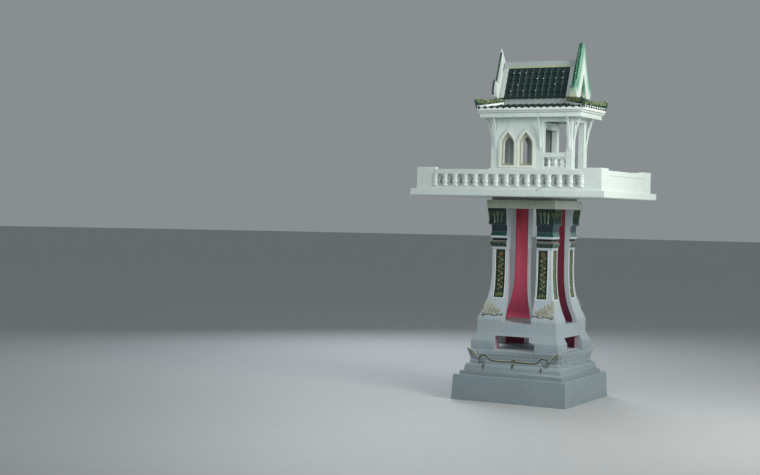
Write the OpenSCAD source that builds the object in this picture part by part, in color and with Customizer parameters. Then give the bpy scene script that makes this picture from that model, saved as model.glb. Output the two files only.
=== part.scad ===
// Cast concrete spirit house: a stepped square pedestal with four angle legs carries a
// walled terrace, and on it stands a small pointed-window house with a porch and tiled roofs.
// Millimetres. +Z is up, +X is the entrance end (front), -Y is the right-hand side.

/* [Pedestal] */
// Width of the ledge round the top of the plinth
plinth_ledge = 31; // [22:1:44]
// Height of the plinth block
plinth_h = 158; // [130:1:190]
// Height from the ground to the top of the slab that closes the pedestal
pedestal_h = 1250; // [1180:1:1400]
// Half width of the leg shafts, measured to their outer faces
shaft_half = 198; // [180:1:215]
// How far the leg feet flare out beyond the shafts
leg_flare = 64; // [50:1:74]
// Half width of the tall openings between the legs
gap_half = 98; // [80:1:110]
// Thickness of the leg walls that face front and back
leg_side_t = 30; // [26:1:44]
// Thickness of the leg walls that face left and right
leg_face_t = 58; // [44:1:62]
// How far the top slab reaches beyond the capitals
slab_over = 13; // [6:1:30]

/* [Terrace] */
// Length of the terrace floor along the house
terrace_l = 1266; // [1160:2:1500]
// Width of the terrace floor
terrace_w = 1004; // [840:2:1200]
// Thickness of the terrace floor
floor_t = 43; // [36:1:56]
// Height of the parapet above the terrace floor
parapet_h = 122; // [100:1:140]
// Thickness of the parapet
parapet_t = 42; // [36:1:50]

/* [House] */
// Length of the house, porch included
house_l = 540; // [500:1:640]
// Width of the house
house_w = 270; // [240:1:330]
// Height of the walls from the house base to the beam
wall_h = 289; // [260:1:340]
// Depth of the porch
porch_l = 188; // [170:1:230]
// Thickness of the house walls
wall_t = 30; // [24:1:34]
// Width of a pointed window opening
window_w = 64; // [52:1:70]

/* [Roof] */
// How far the eaves reach beyond the walls at the sides and the back
eave_out = 77; // [70:1:92]
// How far the eaves reach beyond the front posts
eave_front_out = 92; // [77:1:104]
// How far the lower edges of the upper roof reach beyond the neck
upper_over = 9; // [4:1:16]
// Height of the upper roof from its lower edge to the ridge line
upper_h = 236; // [200:1:260]
// How far the upper roof runs on beyond the neck at each end, up to the bargeboards
gable_over = 30; // [20:1:40]
// Thickness of the front bargeboard
board_front_t = 42; // [30:1:46]
// Thickness of the back bargeboard
board_back_t = 32; // [26:1:42]

/* [Hidden] */
$fn = 48;

white = "#E6EAE6";
dark_green = "#123A33";
roof_green = "#12463C";
grey_slab = "#B4B9B0";

// Pedestal levels, upwards from the ground
plinth_batter = 8;
steps_z = plinth_h;
steps_h = 77;
lion_z = steps_z + steps_h;
lion_h = 82;
foot_z = lion_z + lion_h;
foot_h = 87;
deck_z = foot_z + foot_h;
deck_h = 81;
leg_z = deck_z + deck_h;
slab_t = 52;
slab_z = pedestal_h - slab_t;
capital_h = 255;
capital_z = slab_z - capital_h;
leg_h = capital_z - leg_z;

// Pedestal half widths
leg_foot_half = shaft_half + leg_flare;
capital_half = shaft_half + 27;
slab_half = capital_half + slab_over;
foot_half = leg_foot_half + 28;
lion_lip_half = foot_half + 16;
lion_neck_half = foot_half + 4;
step_half = lion_neck_half + 46;
plinth_half = step_half + plinth_ledge + plinth_batter;
foot_gap_half = gap_half + 38;
foot_face_t = leg_face_t + 26;
foot_side_t = leg_side_t + 24;

// Terrace levels
pad_h = 18;
pad_half = slab_half - 33;
terrace_z = pedestal_h + pad_h;
floor_top = terrace_z + floor_t;
setback = 30;
parapet_x = terrace_l / 2 - setback;
parapet_y = terrace_w / 2 - setback;
corner_l = 125;
corner_rise = 12;
bottom_rail_h = 19;
top_rail_h = 30;
panel_h = parapet_h - bottom_rail_h - top_rail_h;
relief_pitch = 68.3;
relief_w = 42;
relief_depth = 16;

// House levels and ends
house_x = 19;
front_x = house_x + house_l / 2;
back_x = house_x - house_l / 2;
side_y = house_w / 2;
base_h = 141;
base_top = floor_top + base_h;
base_step_h = 12;
base_step_out = 41;
base_lip_out = 9;
beam_z = base_top + wall_h;
beam_h = 27;
post_l = 38;
post_w = 56;
door_wall_x = front_x - porch_l;
door_wall_t = 37;
door_half = side_y - 37;
door_head_z = base_top + wall_h - 44;
ceiling_z = beam_z + beam_h;

// Windows of the long walls
window_z = base_top + 30;
window_straight = 130;
window_rise = 44;
frame_band = 14;
frame_clear = 14;
frame_out = 8;
frame_gap = 2;
rebate = 6;
window_pitch = window_w + 2 * (frame_clear + frame_band) + frame_gap;
room_l = door_wall_x - door_wall_t - back_x;
window_count = floor(room_l / window_pitch);
window_mid_x = back_x + room_l / 2 + min(18, (room_l - window_count * window_pitch) / 2);
window_xs = [for (i = [0:1:window_count - 1]) window_mid_x + (i - (window_count - 1) / 2) * window_pitch];

// Roof levels
cornice_h = 29;
cornice_out = eave_out - 19;
fascia_h = 27;
fascia_z = ceiling_z + cornice_h;
eave_z = fascia_z + fascia_h;
skirt_run = 132;
skirt_h = 30;
skirt_t = 18;
neck_z = eave_z + skirt_h;
neck_h = 42;
neck_half = side_y + eave_out - skirt_run;
neck_back = back_x - eave_out + skirt_run;
neck_front = front_x + eave_out - skirt_run;
upper_z = neck_z + neck_h - 2;
upper_half = neck_half + upper_over;
upper_back = neck_back - gable_over;
upper_front = neck_front + gable_over;
upper_l = upper_front - upper_back;
ridge_z = upper_z + upper_h;
slope_len = norm([upper_half, upper_h]);
slope_t = 22;
slope_t_y = slope_t * slope_len / upper_h;
cap_h = 40;
cap_over = 5;
board_front_rise = 108;
board_back_rise = 92;
gable_drop = 88;
spike_z = ridge_z - 82;
front_tip_t = 34;
back_tip_t = 8;
tail_tip_t = 12;
front_tail_h = 109;
back_tail_h = 119;
gable_t = 18;

// Mouldings: a square solid whose half width follows an outline of [half width, height] points
module square_moulding(outline) {
    wide = max([for (p = outline) p[0]]) + 50;
    intersection() {
        rotate([90, 0, 0]) translate([0, 0, -wide])
            linear_extrude(2 * wide) mirrored_outline(outline);
        rotate([90, 0, 90]) translate([0, 0, -wide])
            linear_extrude(2 * wide) mirrored_outline(outline);
    }
}

module mirrored_outline(outline) {
    n = len(outline);
    polygon(concat(outline, [for (i = [n - 1:-1:0]) [-outline[i][0], outline[i][1]]]));
}

// A box whose corners are given by its lowest and highest points
module box(low, high) {
    translate(low) cube(high - low);
}

// Outline of the leg's outer face: the flare grows with the cube of the way down
function flare(z) = shaft_half + leg_flare * pow(max(0, (leg_z + leg_h * 0.8 - z) / (leg_h * 0.8)), 3);
leg_steps = 12;
function leg_outline(inset = 0) = concat(
    [[leg_foot_half - inset, leg_z], [leg_foot_half - inset, leg_z + 18]],
    [for (i = [1:leg_steps]) let (z = leg_z + leg_h * i / leg_steps)
        [min(leg_foot_half, flare(z - 26)) - inset, z]]
);

// Outline of the capital, from the band above the panels up to the lotus flare
petal_z = capital_z + 155;
petal_h = capital_z + capital_h - 12 - petal_z;
function petal(u) = shaft_half + 18 + 4 * pow(1 - u, 3) + 9 * pow(u, 3);
function capital_outline() = [
    [shaft_half, capital_z], [shaft_half, capital_z + 5],
    [shaft_half + 4, capital_z + 5], [shaft_half + 4, capital_z + 18],
    [shaft_half + 8, capital_z + 22], [shaft_half + 13, capital_z + 36], [shaft_half + 8, capital_z + 50],
    [shaft_half + 1, capital_z + 53], [shaft_half + 1, capital_z + 70],
    [shaft_half + 11, capital_z + 70], [shaft_half + 11, capital_z + 92],
    [shaft_half + 7, capital_z + 95], [shaft_half + 5, capital_z + 124],
    [shaft_half + 8, petal_z - 4],
    for (i = [0:8]) [petal(i / 8), petal_z + petal_h * i / 8],
    [capital_half, capital_z + capital_h - 12], [capital_half, capital_z + capital_h]
];

// Outline of the foot course and deck: upright feet, then a cove up to the legs
cove_steps = 6;
cove_h = 60;
cove_z = leg_z - 55 - cove_h;
function foot_half_at(z) = z < cove_z ? foot_half
    : leg_foot_half + 28 * pow(1 - min(1, (z - cove_z) / cove_h), 1.4);
function foot_outline(low, high) = concat(
    [[foot_half_at(low), low]],
    [for (i = [0:cove_steps]) let (z = cove_z + cove_h * i / cove_steps)
        if (z > low + 1 && z < high - 1) [foot_half_at(z), z]],
    [[foot_half_at(high), high]]
);

// The corner block of plan that one foot or leg takes up
module corner_zone(sx, sy, inner, z0, z1, reach = 400) {
    box([min(sx * inner, sx * reach), min(sy * inner, sy * reach), z0],
        [max(sx * inner, sx * reach), max(sy * inner, sy * reach), z1]);
}

module plinth() {
    color(white) square_moulding([
        [plinth_half, 0], [plinth_half - plinth_batter, plinth_h - 6],
        [plinth_half - plinth_batter - 4, plinth_h]
    ]);
}

module base_steps() {
    z = steps_z;
    color(white) square_moulding([
        [step_half, z], [step_half, z + 22],
        for (a = [0:15:90]) [step_half - 4 - 18 * sin(a), z + 22 + 20 * (1 - cos(a))],
        [step_half - 24, z + 56],
        for (a = [0:18:90]) [lion_neck_half + 20 * cos(a), z + 56 + 16 * sin(a)],
        [lion_neck_half, z + steps_h]
    ]);
}

// The lion-foot course: a waist that flares out to a sharp lip, with ears turned out at the corners
module lion_foot_course() {
    z = lion_z;
    lip_z = z + lion_h;
    color(white) union() {
        square_moulding([
            [lion_neck_half, z],
            for (i = [0:6]) [lion_neck_half - 4 * sin(i * 30), z + 6 + i * 4],
            for (i = [1:5]) [lion_neck_half + (lion_lip_half - lion_neck_half) * pow(i / 5, 1.6), z + 30 + i * 8.4],
            [lion_lip_half, lip_z - 4], [lion_lip_half - 3, lip_z]
        ]);
        for (sx = [-1, 1], sy = [-1, 1]) corner_ear(sx, sy, lip_z);
    }
}

// One outturned ear: a pointed wedge set on the diagonal under the lip
module corner_ear(sx, sy, lip_z) {
    ear = 4;
    mirror([sx < 0 ? 1 : 0, 0, 0]) mirror([0, sy < 0 ? 1 : 0, 0])
        translate([lion_lip_half, lion_lip_half, lip_z]) rotate([90, 0, 45])
            translate([0, 0, -7]) linear_extrude(14)
                polygon([[-34, -46], [-14, -30], [-3, -12], [ear, 3], [-8, -2], [-34, -4]]);
}

// One corner foot: an angle-shaped block with the low openings either side of it
module foot(sx, sy) {
    cavity_x = foot_half - foot_side_t;
    cavity_y = foot_half - foot_face_t;
    color(white) difference() {
        intersection() {
            square_moulding(foot_outline(foot_z, deck_z));
            corner_zone(sx, sy, foot_gap_half, foot_z, deck_z);
        }
        box([-cavity_x, -cavity_y, foot_z - 1], [cavity_x, cavity_y, deck_z + 1]);
    }
}

// The deck that ties the feet together and floors the tall openings, hollowed underneath
module pedestal_deck() {
    hollow = 40;
    in_x = foot_half - foot_side_t - 6;
    in_y = foot_half - foot_face_t - 6;
    color(white) difference() {
        square_moulding(foot_outline(deck_z, leg_z));
        box([-in_x, -in_y, deck_z - 1], [in_x, in_y, deck_z + hollow]);
    }
}

// One angle leg: outer faces flare to the foot, the inside follows them, and the
// outer faces have sunk panels
module leg(sx, sy) {
    color(white) difference() {
        intersection() {
            square_moulding(leg_outline());
            corner_zone(sx, sy, gap_half, leg_z, capital_z);
        }
        leg_cavity();
        for (side = [0, 1]) panel_zone(sx, sy, side, 0);
    }
}

// The space inside the four legs
module leg_cavity() {
    intersection() {
        rotate([90, 0, 0]) translate([0, 0, -400])
            linear_extrude(800) mirrored_outline(cavity_outline(leg_side_t));
        rotate([90, 0, 90]) translate([0, 0, -400])
            linear_extrude(800) mirrored_outline(cavity_outline(leg_face_t));
    }
}

function cavity_outline(t) = concat(
    [[leg_foot_half - t, leg_z - 1]],
    leg_outline(t),
    [[shaft_half - t, capital_z + 1]]
);

panel_in = gap_half + 16;
panel_out = shaft_half - 28;
panel_low = leg_z + 156;
panel_high = capital_z - 8;
panel_depth = 6;

// The sunk panel on one outer face of a leg: side 0 faces left or right of the pedestal
// (along Y), side 1 faces front or back (along X); clear draws it back from its seat
module panel_zone(sx, sy, side, clear) {
    deep = panel_depth;
    outer = [for (p = leg_outline(deep)) if (p[1] > panel_low - 60) p];
    band = [for (p = leg_outline(-20)) if (p[1] > panel_low - 60) p];
    mirror([sx < 0 ? 1 : 0, 0, 0]) mirror([0, sy < 0 ? 1 : 0, 0])
        mirror(side == 0 ? [1, -1, 0] : [0, 0, 0])
            intersection() {
                rotate([90, 0, 0]) translate([0, 0, -panel_out - 40])
                    linear_extrude(400)
                        polygon(concat(outer, [for (i = [len(band) - 1:-1:0]) band[i]]));
                slanted_panel(clear);
            }
}

// The panel's upright outline, whose outer edge follows the flare
module slanted_panel(clear) {
    low_out = flare(panel_low) - 30;
    tall = panel_high - panel_low;
    rotate([90, 0, 90]) linear_extrude(400)
        polygon([
            [panel_in + clear, panel_low + clear], [low_out - clear, panel_low + clear],
            [flare(panel_low + 0.27 * tall) - 29 - clear, panel_low + 0.27 * tall],
            [panel_out - clear, panel_low + 0.61 * tall],
            [panel_out - clear, panel_high - clear], [panel_in + clear, panel_high - clear]
        ]);
}

// The inlays that line the sunk panels, two on each leg
module leg_panels() {
    inlay_t = 3;
    color(dark_green) for (sx = [-1, 1], sy = [-1, 1], side = [0, 1])
        intersection() {
            panel_zone(sx, sy, side, 0.3);
            panel_limit(sx, sy, side, panel_depth - inlay_t);
        }
}

// Everything inside the leg face drawn in by a depth
module panel_limit(sx, sy, side, deep) {
    outline = concat([[0, leg_z]], leg_outline(deep), [[0, capital_z]]);
    mirror([sx < 0 ? 1 : 0, 0, 0]) mirror([0, sy < 0 ? 1 : 0, 0])
        mirror(side == 0 ? [1, -1, 0] : [0, 0, 0])
            rotate([90, 0, 0]) translate([0, 0, -400]) linear_extrude(800) polygon(outline);
}

// One capital: the moulded head of a leg under the top slab
module capital(sx, sy) {
    cavity_x = shaft_half - leg_side_t;
    cavity_y = shaft_half - leg_face_t;
    color(dark_green) difference() {
        intersection() {
            square_moulding(capital_outline());
            corner_zone(sx, sy, gap_half, capital_z, slab_z);
        }
        box([-cavity_x, -cavity_y, capital_z - 1], [cavity_x, cavity_y, slab_z + 1]);
    }
}

// A flat square with rounded corners
module round_square(half, r) {
    square([2 * half, 2 * (half - r)], center = true);
    square([2 * (half - r), 2 * half], center = true);
    for (sx = [-1, 1], sy = [-1, 1]) translate([sx * (half - r), sy * (half - r)]) circle(r);
}

// The slab that closes the pedestal, with round corners and an eased lower edge
module top_slab() {
    half = slab_half;
    corner_r = 26;
    ease = 11;
    color(grey_slab) intersection() {
        translate([0, 0, slab_z]) linear_extrude(slab_t) round_square(half, corner_r);
        square_moulding([
            for (a = [0:15:90]) [half - ease + ease * sin(a), slab_z + ease * (1 - cos(a))],
            [half, pedestal_h - 3], [half - 3, pedestal_h]
        ]);
    }
}

module bearing_pad() {
    color(grey_slab) box([-pad_half, -pad_half, pedestal_h], [pad_half, pad_half, terrace_z]);
}

module terrace_floor() {
    x = terrace_l / 2;
    y = terrace_w / 2;
    ease = 5;
    color(white) intersection() {
        box([-x, -y, terrace_z], [x, y, floor_top]);
        rotate([90, 0, 0]) translate([0, 0, -y - 1]) linear_extrude(2 * y + 2)
            mirrored_outline([[x - ease, terrace_z], [x, terrace_z + ease], [x, floor_top - 2], [x - 2, floor_top]]);
        rotate([90, 0, 90]) translate([0, 0, -x - 1]) linear_extrude(2 * x + 2)
            mirrored_outline([[y - ease, terrace_z], [y, terrace_z + ease], [y, floor_top - 2], [y - 2, floor_top]]);
    }
}

// One straight run of parapet along X, with its outer face at y = 0 and its wall behind:
// a bottom rail, a row of sunk bays that leave balusters between them, and a top rail
module parapet_run(l, bays) {
    rail_out = 3;
    difference() {
        union() {
            box([-l / 2, 0, 0], [l / 2, parapet_t, parapet_h]);
            box([-l / 2, -rail_out, parapet_h - top_rail_h], [l / 2, 1, parapet_h - 4]);
        }
        for (i = [0:1:bays - 1])
            translate([(i - (bays - 1) / 2) * relief_pitch, 0, bottom_rail_h]) relief_bay();
    }
}

// One sunk bay between balusters: a slot with round ends
module relief_bay() {
    r = relief_w / 2;
    rotate([90, 0, 0]) translate([0, 0, -relief_depth]) linear_extrude(relief_depth + 1) {
        translate([0, r]) circle(r);
        translate([0, panel_h - r]) circle(r);
        translate([-r, r]) square([relief_w, panel_h - 2 * r]);
    }
}

function run_l(half) = 2 * (half - corner_l);
function bay_count(half) = floor(run_l(half) / relief_pitch + 0.05);

module parapet_right() {
    color(white) translate([0, -parapet_y, floor_top]) parapet_run(run_l(parapet_x), bay_count(parapet_x));
}

module parapet_left() {
    color(white) translate([0, parapet_y, floor_top]) rotate([0, 0, 180])
        parapet_run(run_l(parapet_x), bay_count(parapet_x));
}

module parapet_back() {
    color(white) translate([-parapet_x, 0, floor_top]) rotate([0, 0, -90])
        parapet_run(run_l(parapet_y), bay_count(parapet_y));
}

// The front run is plain: no bays are sunk in it
module parapet_front() {
    color(white) translate([parapet_x, 0, floor_top]) rotate([0, 0, 90])
        parapet_run(run_l(parapet_y), 0);
}

// Plain angle-shaped corners of the parapet, a little higher than its rails
module corner_blocks() {
    t = parapet_t;
    color(white) for (sx = [-1, 1], sy = [-1, 1])
        mirror([sx < 0 ? 1 : 0, 0, 0]) mirror([0, sy < 0 ? 1 : 0, 0])
            translate([parapet_x - corner_l, parapet_y - corner_l, floor_top])
                linear_extrude(parapet_h + corner_rise) polygon([
                    [0, corner_l], [corner_l, corner_l], [corner_l, 0],
                    [corner_l - t, 0], [corner_l - t, corner_l - t], [0, corner_l - t]
                ]);
}

// The house stands on a block with a wide lower step and a narrow lip under the walls
module house_base() {
    step_top = base_top - base_step_h;
    color(white) union() {
        box([back_x - base_step_out, -side_y - base_step_out, floor_top],
            [front_x + base_step_out, side_y + base_step_out, step_top]);
        box([back_x - base_lip_out, -side_y - base_lip_out, step_top],
            [front_x + base_lip_out, side_y + base_lip_out, base_top]);
    }
}

// The pointed opening in elevation: upright sides, then two flanks that bend in and run
// nearly straight up to the point
flank_bend = 1.4;
flank_steps = 8;
module pointed(w, straight, rise) {
    half = w / 2;
    side = [for (i = [0:flank_steps - 1]) let (t = i / flank_steps)
        [half * (1 - pow(t, flank_bend)), straight + rise * t]];
    polygon(concat([[-half, 0], [half, 0]], side, [[0, straight + rise]],
        [for (i = [flank_steps - 1:-1:0]) [-side[i][0], side[i][1]]]));
}

// A window's outline widened all round
module widened_window(more) {
    translate([0, -more]) pointed(window_w + 2 * more, window_straight + more, window_rise + 1.5 * more);
}

// Windows of a wall along X whose outer face is at y = 0: cut right through, with a shallow
// rebate round each opening
module window_cuts() {
    for (x = window_xs) translate([x, 0, window_z]) rotate([90, 0, 0]) {
        translate([0, 0, -wall_t - 1]) linear_extrude(wall_t + 2) widened_window(0);
        translate([0, 0, -rebate]) linear_extrude(rebate + 1) widened_window(frame_clear);
    }
}

module long_wall() {
    color(white) difference() {
        box([back_x, -side_y, base_top], [door_wall_x, -side_y + wall_t, beam_z]);
        translate([0, -side_y, 0]) window_cuts();
    }
}

module wall_right() {
    long_wall();
}

module wall_left() {
    mirror([0, 1, 0]) long_wall();
}

module wall_back() {
    in_y = side_y - wall_t;
    color(white) box([back_x, -in_y, base_top], [back_x + wall_t, in_y, beam_z]);
}

// The wall between room and porch, with a wide doorway
module wall_door() {
    in_y = side_y - wall_t;
    head_z = door_head_z;
    color(white) difference() {
        box([door_wall_x - door_wall_t, -in_y, base_top], [door_wall_x, in_y, beam_z]);
        box([door_wall_x - door_wall_t - 1, -door_half, base_top - 1], [door_wall_x + 1, door_half, head_z]);
    }
}

// Raised pointed frames round the window rebates, on the outer faces of the long walls
module window_frames() {
    color(white) for (sy = [-1, 1], x = window_xs)
        mirror([0, sy > 0 ? 1 : 0, 0]) translate([x, -side_y, window_z])
            rotate([90, 0, 0]) linear_extrude(frame_out) difference() {
                widened_window(frame_clear + frame_band);
                widened_window(frame_clear);
            }
}

module porch_posts() {
    color(white) for (sy = [-1, 1]) mirror([0, sy > 0 ? 1 : 0, 0])
        box([front_x - post_l, -side_y, base_top], [front_x, -side_y + post_w, beam_z]);
}

// A vase-shaped baluster, h tall
module baluster(h) {
    rotate_extrude($fn = 32) polygon([
        [0, 0], [11, 0], [11, 5], [8, 9], [13, h * 0.36], [11, h * 0.5], [6.5, h * 0.74], [10, h - 6], [10, h], [0, h]
    ]);
}

// Low balustrades that close the two sides of the porch
module porch_balustrades() {
    low = 12;
    low_half = 12;
    rail_z = base_top + 67;
    rail_t = 31;
    rail_half = 14;
    mid_y = -side_y + 16;
    l = porch_l - post_l;
    pitch = l / 4 + 3;
    color(white) for (sy = [-1, 1]) mirror([0, sy > 0 ? 1 : 0, 0])
        translate([door_wall_x + l / 2, mid_y, 0]) union() {
            box([-l / 2, -low_half, base_top], [l / 2, low_half, base_top + low]);
            box([-l / 2, -rail_half, rail_z], [l / 2, rail_half, rail_z + rail_t]);
            for (i = [-1:1]) translate([i * pitch, 0, base_top + low]) baluster(rail_z - base_top - low);
        }
}

// The beam round the wall heads
module wall_beam() {
    t = wall_t;
    color(white) difference() {
        box([back_x, -side_y, beam_z], [front_x, side_y, ceiling_z]);
        box([back_x + t, -side_y + t, beam_z - 1], [front_x - post_l, side_y - t, ceiling_z + 1]);
    }
}

// One slender bracket in elevation: it leans from the wall out to the edge of the cornice
bracket_h = 206;
bracket_reach = cornice_out - 4;
module bracket() {
    foot_y = -10;
    rotate([90, 0, 90]) translate([0, 0, -6]) linear_extrude(12) polygon([
        [0, 0], [foot_y * 0.6, 22], [foot_y, 60], [foot_y - 10, 120], [-bracket_reach + 16, bracket_h - 18],
        [-bracket_reach, bracket_h], [-bracket_reach + 16, bracket_h],
        [foot_y - 6, 150], [foot_y + 4, 90], [0, 50]
    ]);
}

module eave_brackets() {
    z = ceiling_z - bracket_h;
    color(white) {
        for (sy = [-1, 1], x = [back_x + 30, door_wall_x - 22, front_x - post_l / 2])
            mirror([0, sy > 0 ? 1 : 0, 0]) translate([x, -side_y, z]) bracket();
        for (y = [-side_y + 22, side_y - 22]) {
            translate([back_x, y, z]) rotate([0, 0, -90]) bracket();
            translate([front_x, y, z]) rotate([0, 0, 90]) bracket();
        }
    }
}

// A rectangular solid whose sides follow [overhang, height] points, with its own overhang in front
module eave_moulding(outline, front_gain) {
    mid = (back_x + front_x + front_gain) / 2;
    half_l = (front_x + front_gain - back_x) / 2;
    wide = 900;
    translate([mid, 0, 0]) intersection() {
        rotate([90, 0, 0]) translate([0, 0, -wide]) linear_extrude(2 * wide)
            mirrored_outline([for (p = outline) [half_l + p[0], p[1]]]);
        rotate([90, 0, 90]) translate([0, 0, -wide]) linear_extrude(2 * wide)
            mirrored_outline([for (p = outline) [side_y + p[0], p[1]]]);
    }
}

front_gain = eave_front_out - eave_out;

// Cornice: a flat soffit that ceils the room and porch, and a fascia leaning out to the eaves
module cornice() {
    rim = 30;
    color(white) difference() {
        eave_moulding([
            [cornice_out, ceiling_z], [cornice_out, fascia_z],
            [eave_out - 10, fascia_z], [eave_out, eave_z]
        ], front_gain);
        eave_moulding([
            [eave_out - 10 - rim, fascia_z], [eave_out - 10 - rim, eave_z + 1]
        ], front_gain);
    }
}

// The skirt roof: four low slopes that rise from the eaves to the neck, hollow below
module skirt_roof() {
    color(roof_green) difference() {
        skirt_outer();
        skirt_body(eave_out - 42, skirt_h - skirt_t, -1);
    }
}

module skirt_outer() {
    skirt_body(eave_out, skirt_h, 0);
}

// A hipped body with its base overhang and its height, rising at the skirt's pitch
module skirt_body(out, h, drop) {
    run = skirt_run * h / skirt_h;
    front_run = (front_x + eave_front_out - neck_front) * h / skirt_h;
    base_front = front_x + out + front_gain;
    base_back = back_x - out;
    half = side_y + out;
    intersection() {
        rotate([90, 0, 0]) translate([0, 0, -900]) linear_extrude(1800) polygon([
            [base_back, eave_z + drop], [base_back, eave_z], [base_back + run, eave_z + h],
            [base_front - front_run, eave_z + h], [base_front, eave_z], [base_front, eave_z + drop]
        ]);
        rotate([90, 0, 90]) translate([0, 0, -900]) linear_extrude(1800) polygon([
            [-half, eave_z + drop], [-half, eave_z], [-half + run, eave_z + h],
            [half - run, eave_z + h], [half, eave_z], [half, eave_z + drop]
        ]);
    }
}

// Hip ridges: serpent-backed bars that run down the four hips and turn up at the corners
module hip_ridges() {
    bar_t = 16;
    color(dark_green) difference() {
        for (sy = [-1, 1]) mirror([0, sy > 0 ? 1 : 0, 0]) {
            hip_bar([neck_back, -neck_half], [back_x - eave_out, -side_y - eave_out], bar_t);
            hip_bar([neck_front, -neck_half], [front_x + eave_front_out, -side_y - eave_out], bar_t);
        }
        skirt_outer();
        neck_solid();
        box([-900, -900, eave_z - 200], [900, 900, eave_z]);
    }
}

// One hip bar between two plan points. Its back stands this high over the skirt's slope at
// shares of the way down, and turns up at the end
hip_back = [
    [0, 38], [0.2, 43], [0.34, 47], [0.55, 47], [0.74, 49], [0.86, 54], [0.95, 62], [1.02, 70],
    [1.055, 66], [1.06, 52], [1.03, 34], [0.995, 10], [0.985, -4]
];
module hip_bar(from, to, t) {
    d = norm(to - from);
    a = atan2(to[1] - from[1], to[0] - from[0]);
    translate([from[0], from[1], neck_z]) rotate([90, 0, a]) translate([0, 0, -t / 2])
        linear_extrude(t) polygon(concat(
            [[0, -20]],
            [for (p = hip_back) [d * p[0], p[1] - skirt_h * min(p[0], 1)]],
            [[d * 0.5, -20 - skirt_h / 2]]
        ));
}

module neck_solid() {
    box([neck_back, -neck_half, neck_z], [neck_front, neck_half, neck_z + neck_h]);
}

// The neck between the roofs: a low hollow box
module roof_neck() {
    t = 24;
    color(white) difference() {
        neck_solid();
        box([neck_back + t, -neck_half + t, neck_z - 1], [neck_front - t, neck_half - t, neck_z + neck_h + 1]);
        slope_zone(60);
        mirror([0, 1, 0]) slope_zone(60);
    }
}

// The band of elevation that one upper slope takes up, as a bar along X
module slope_zone(over) {
    z0 = upper_z;
    z1 = ridge_z - cap_h;
    y1 = upper_half * cap_h / upper_h;
    rotate([90, 0, 90]) translate([0, 0, upper_back - over]) linear_extrude(upper_l + 2 * over)
        polygon([
            [-upper_half, z0], [-upper_half + slope_t_y, z0],
            [0, ridge_z - slope_t_y * upper_h / upper_half], [0, z1], [-y1, z1]
        ]);
}

module roof_slope_right() {
    color(roof_green) slope_zone(0);
}

module roof_slope_left() {
    color(roof_green) mirror([0, 1, 0]) slope_zone(0);
}

// Ridge cap: a saddle over the heads of the slopes, with a round top
module ridge_cap() {
    y1 = upper_half * cap_h / upper_h;
    round_r = 3;
    color(white) rotate([90, 0, 90]) translate([0, 0, upper_back]) linear_extrude(upper_l)
        polygon([
            [y1 + cap_over, ridge_z - cap_h],
            for (a = [0:30:180]) [round_r * cos(a), ridge_z + round_r * sin(a)],
            [-y1 - cap_over, ridge_z - cap_h]
        ]);
}

// The triangles that close the ends of the upper roof, under the slopes
module gable_panels() {
    z1 = ridge_z - slope_t_y * upper_h / upper_half - 0.5;
    z0 = neck_z + neck_h;
    in_half = upper_half - slope_t_y - upper_half * (z0 - upper_z) / upper_h - 0.3;
    color(white) for (x = [upper_back, upper_front - gable_t])
        rotate([90, 0, 90]) translate([0, 0, x]) linear_extrude(gable_t)
            polygon([[-in_half, z0], [0, z1], [in_half, z0]]);
}

// A bargeboard with its inner face at x = 0: two raked boards that meet in a spire, each with
// an upturned tail. The inner face leans out up the spire and up the tails, which thins them
module bargeboard(t, tip_t, rise, tail_h) {
    rake = upper_h / upper_half;
    apex = ridge_z + rise;
    inner_apex = ridge_z - gable_drop;
    z0 = upper_z;
    in_y = (inner_apex - z0) / rake;
    outer_rake = rake * 1.02;
    tail_z = z0 + tail_h;
    notch_z = tail_z - 18;
    notch_y = (apex - notch_z) / outer_rake;
    foot_z = notch_z - 30;
    foot_y = (apex - foot_z) / outer_rake;
    half = [
        [0, apex], [notch_y, notch_z], [upper_half + 10, notch_z + 1], [upper_half + 17, tail_z],
        [upper_half + 29, tail_z - 21], [upper_half + 38, z0 + 70], [upper_half + 43, z0 + 40],
        [upper_half + 37, z0 + 14], [upper_half + 26, z0], [in_y, z0], [0, inner_apex]
    ];
    last = len(half) - 2;
    difference() {
        rotate([90, 0, 90]) linear_extrude(t)
            polygon(concat(half, [for (i = [last:-1:1]) [-half[i][0], half[i][1]]]));
        leaning_cut(t - tip_t, spike_z, apex, upper_half);
        for (sy = [-1, 1]) mirror([0, sy > 0 ? 1 : 0, 0]) intersection() {
            leaning_cut(t - tail_tip_t, foot_z, tail_z, 2 * upper_half);
            rotate([90, 0, 90]) translate([0, 0, -2]) linear_extrude(t + 4)
                polygon([[-foot_y, foot_z], [-notch_y, notch_z], [-notch_y, apex], [-2 * upper_half, apex],
                    [-2 * upper_half, foot_z]]);
        }
    }
}

// What lies behind a plane that leans out by a run from one height to another
module leaning_cut(run, low, high, half) {
    rotate([90, 0, 0]) translate([0, 0, -half]) linear_extrude(2 * half)
        polygon([[-1, low], [0, low], [run, high], [run, high + 1], [-1, high + 1]]);
}

module bargeboard_front() {
    color(dark_green) translate([upper_front, 0, 0])
        bargeboard(board_front_t, front_tip_t, board_front_rise, front_tail_h);
}

module bargeboard_back() {
    color(white) translate([upper_back, 0, 0]) mirror([1, 0, 0])
        bargeboard(board_back_t, back_tip_t, board_back_rise, back_tail_h);
}

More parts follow.
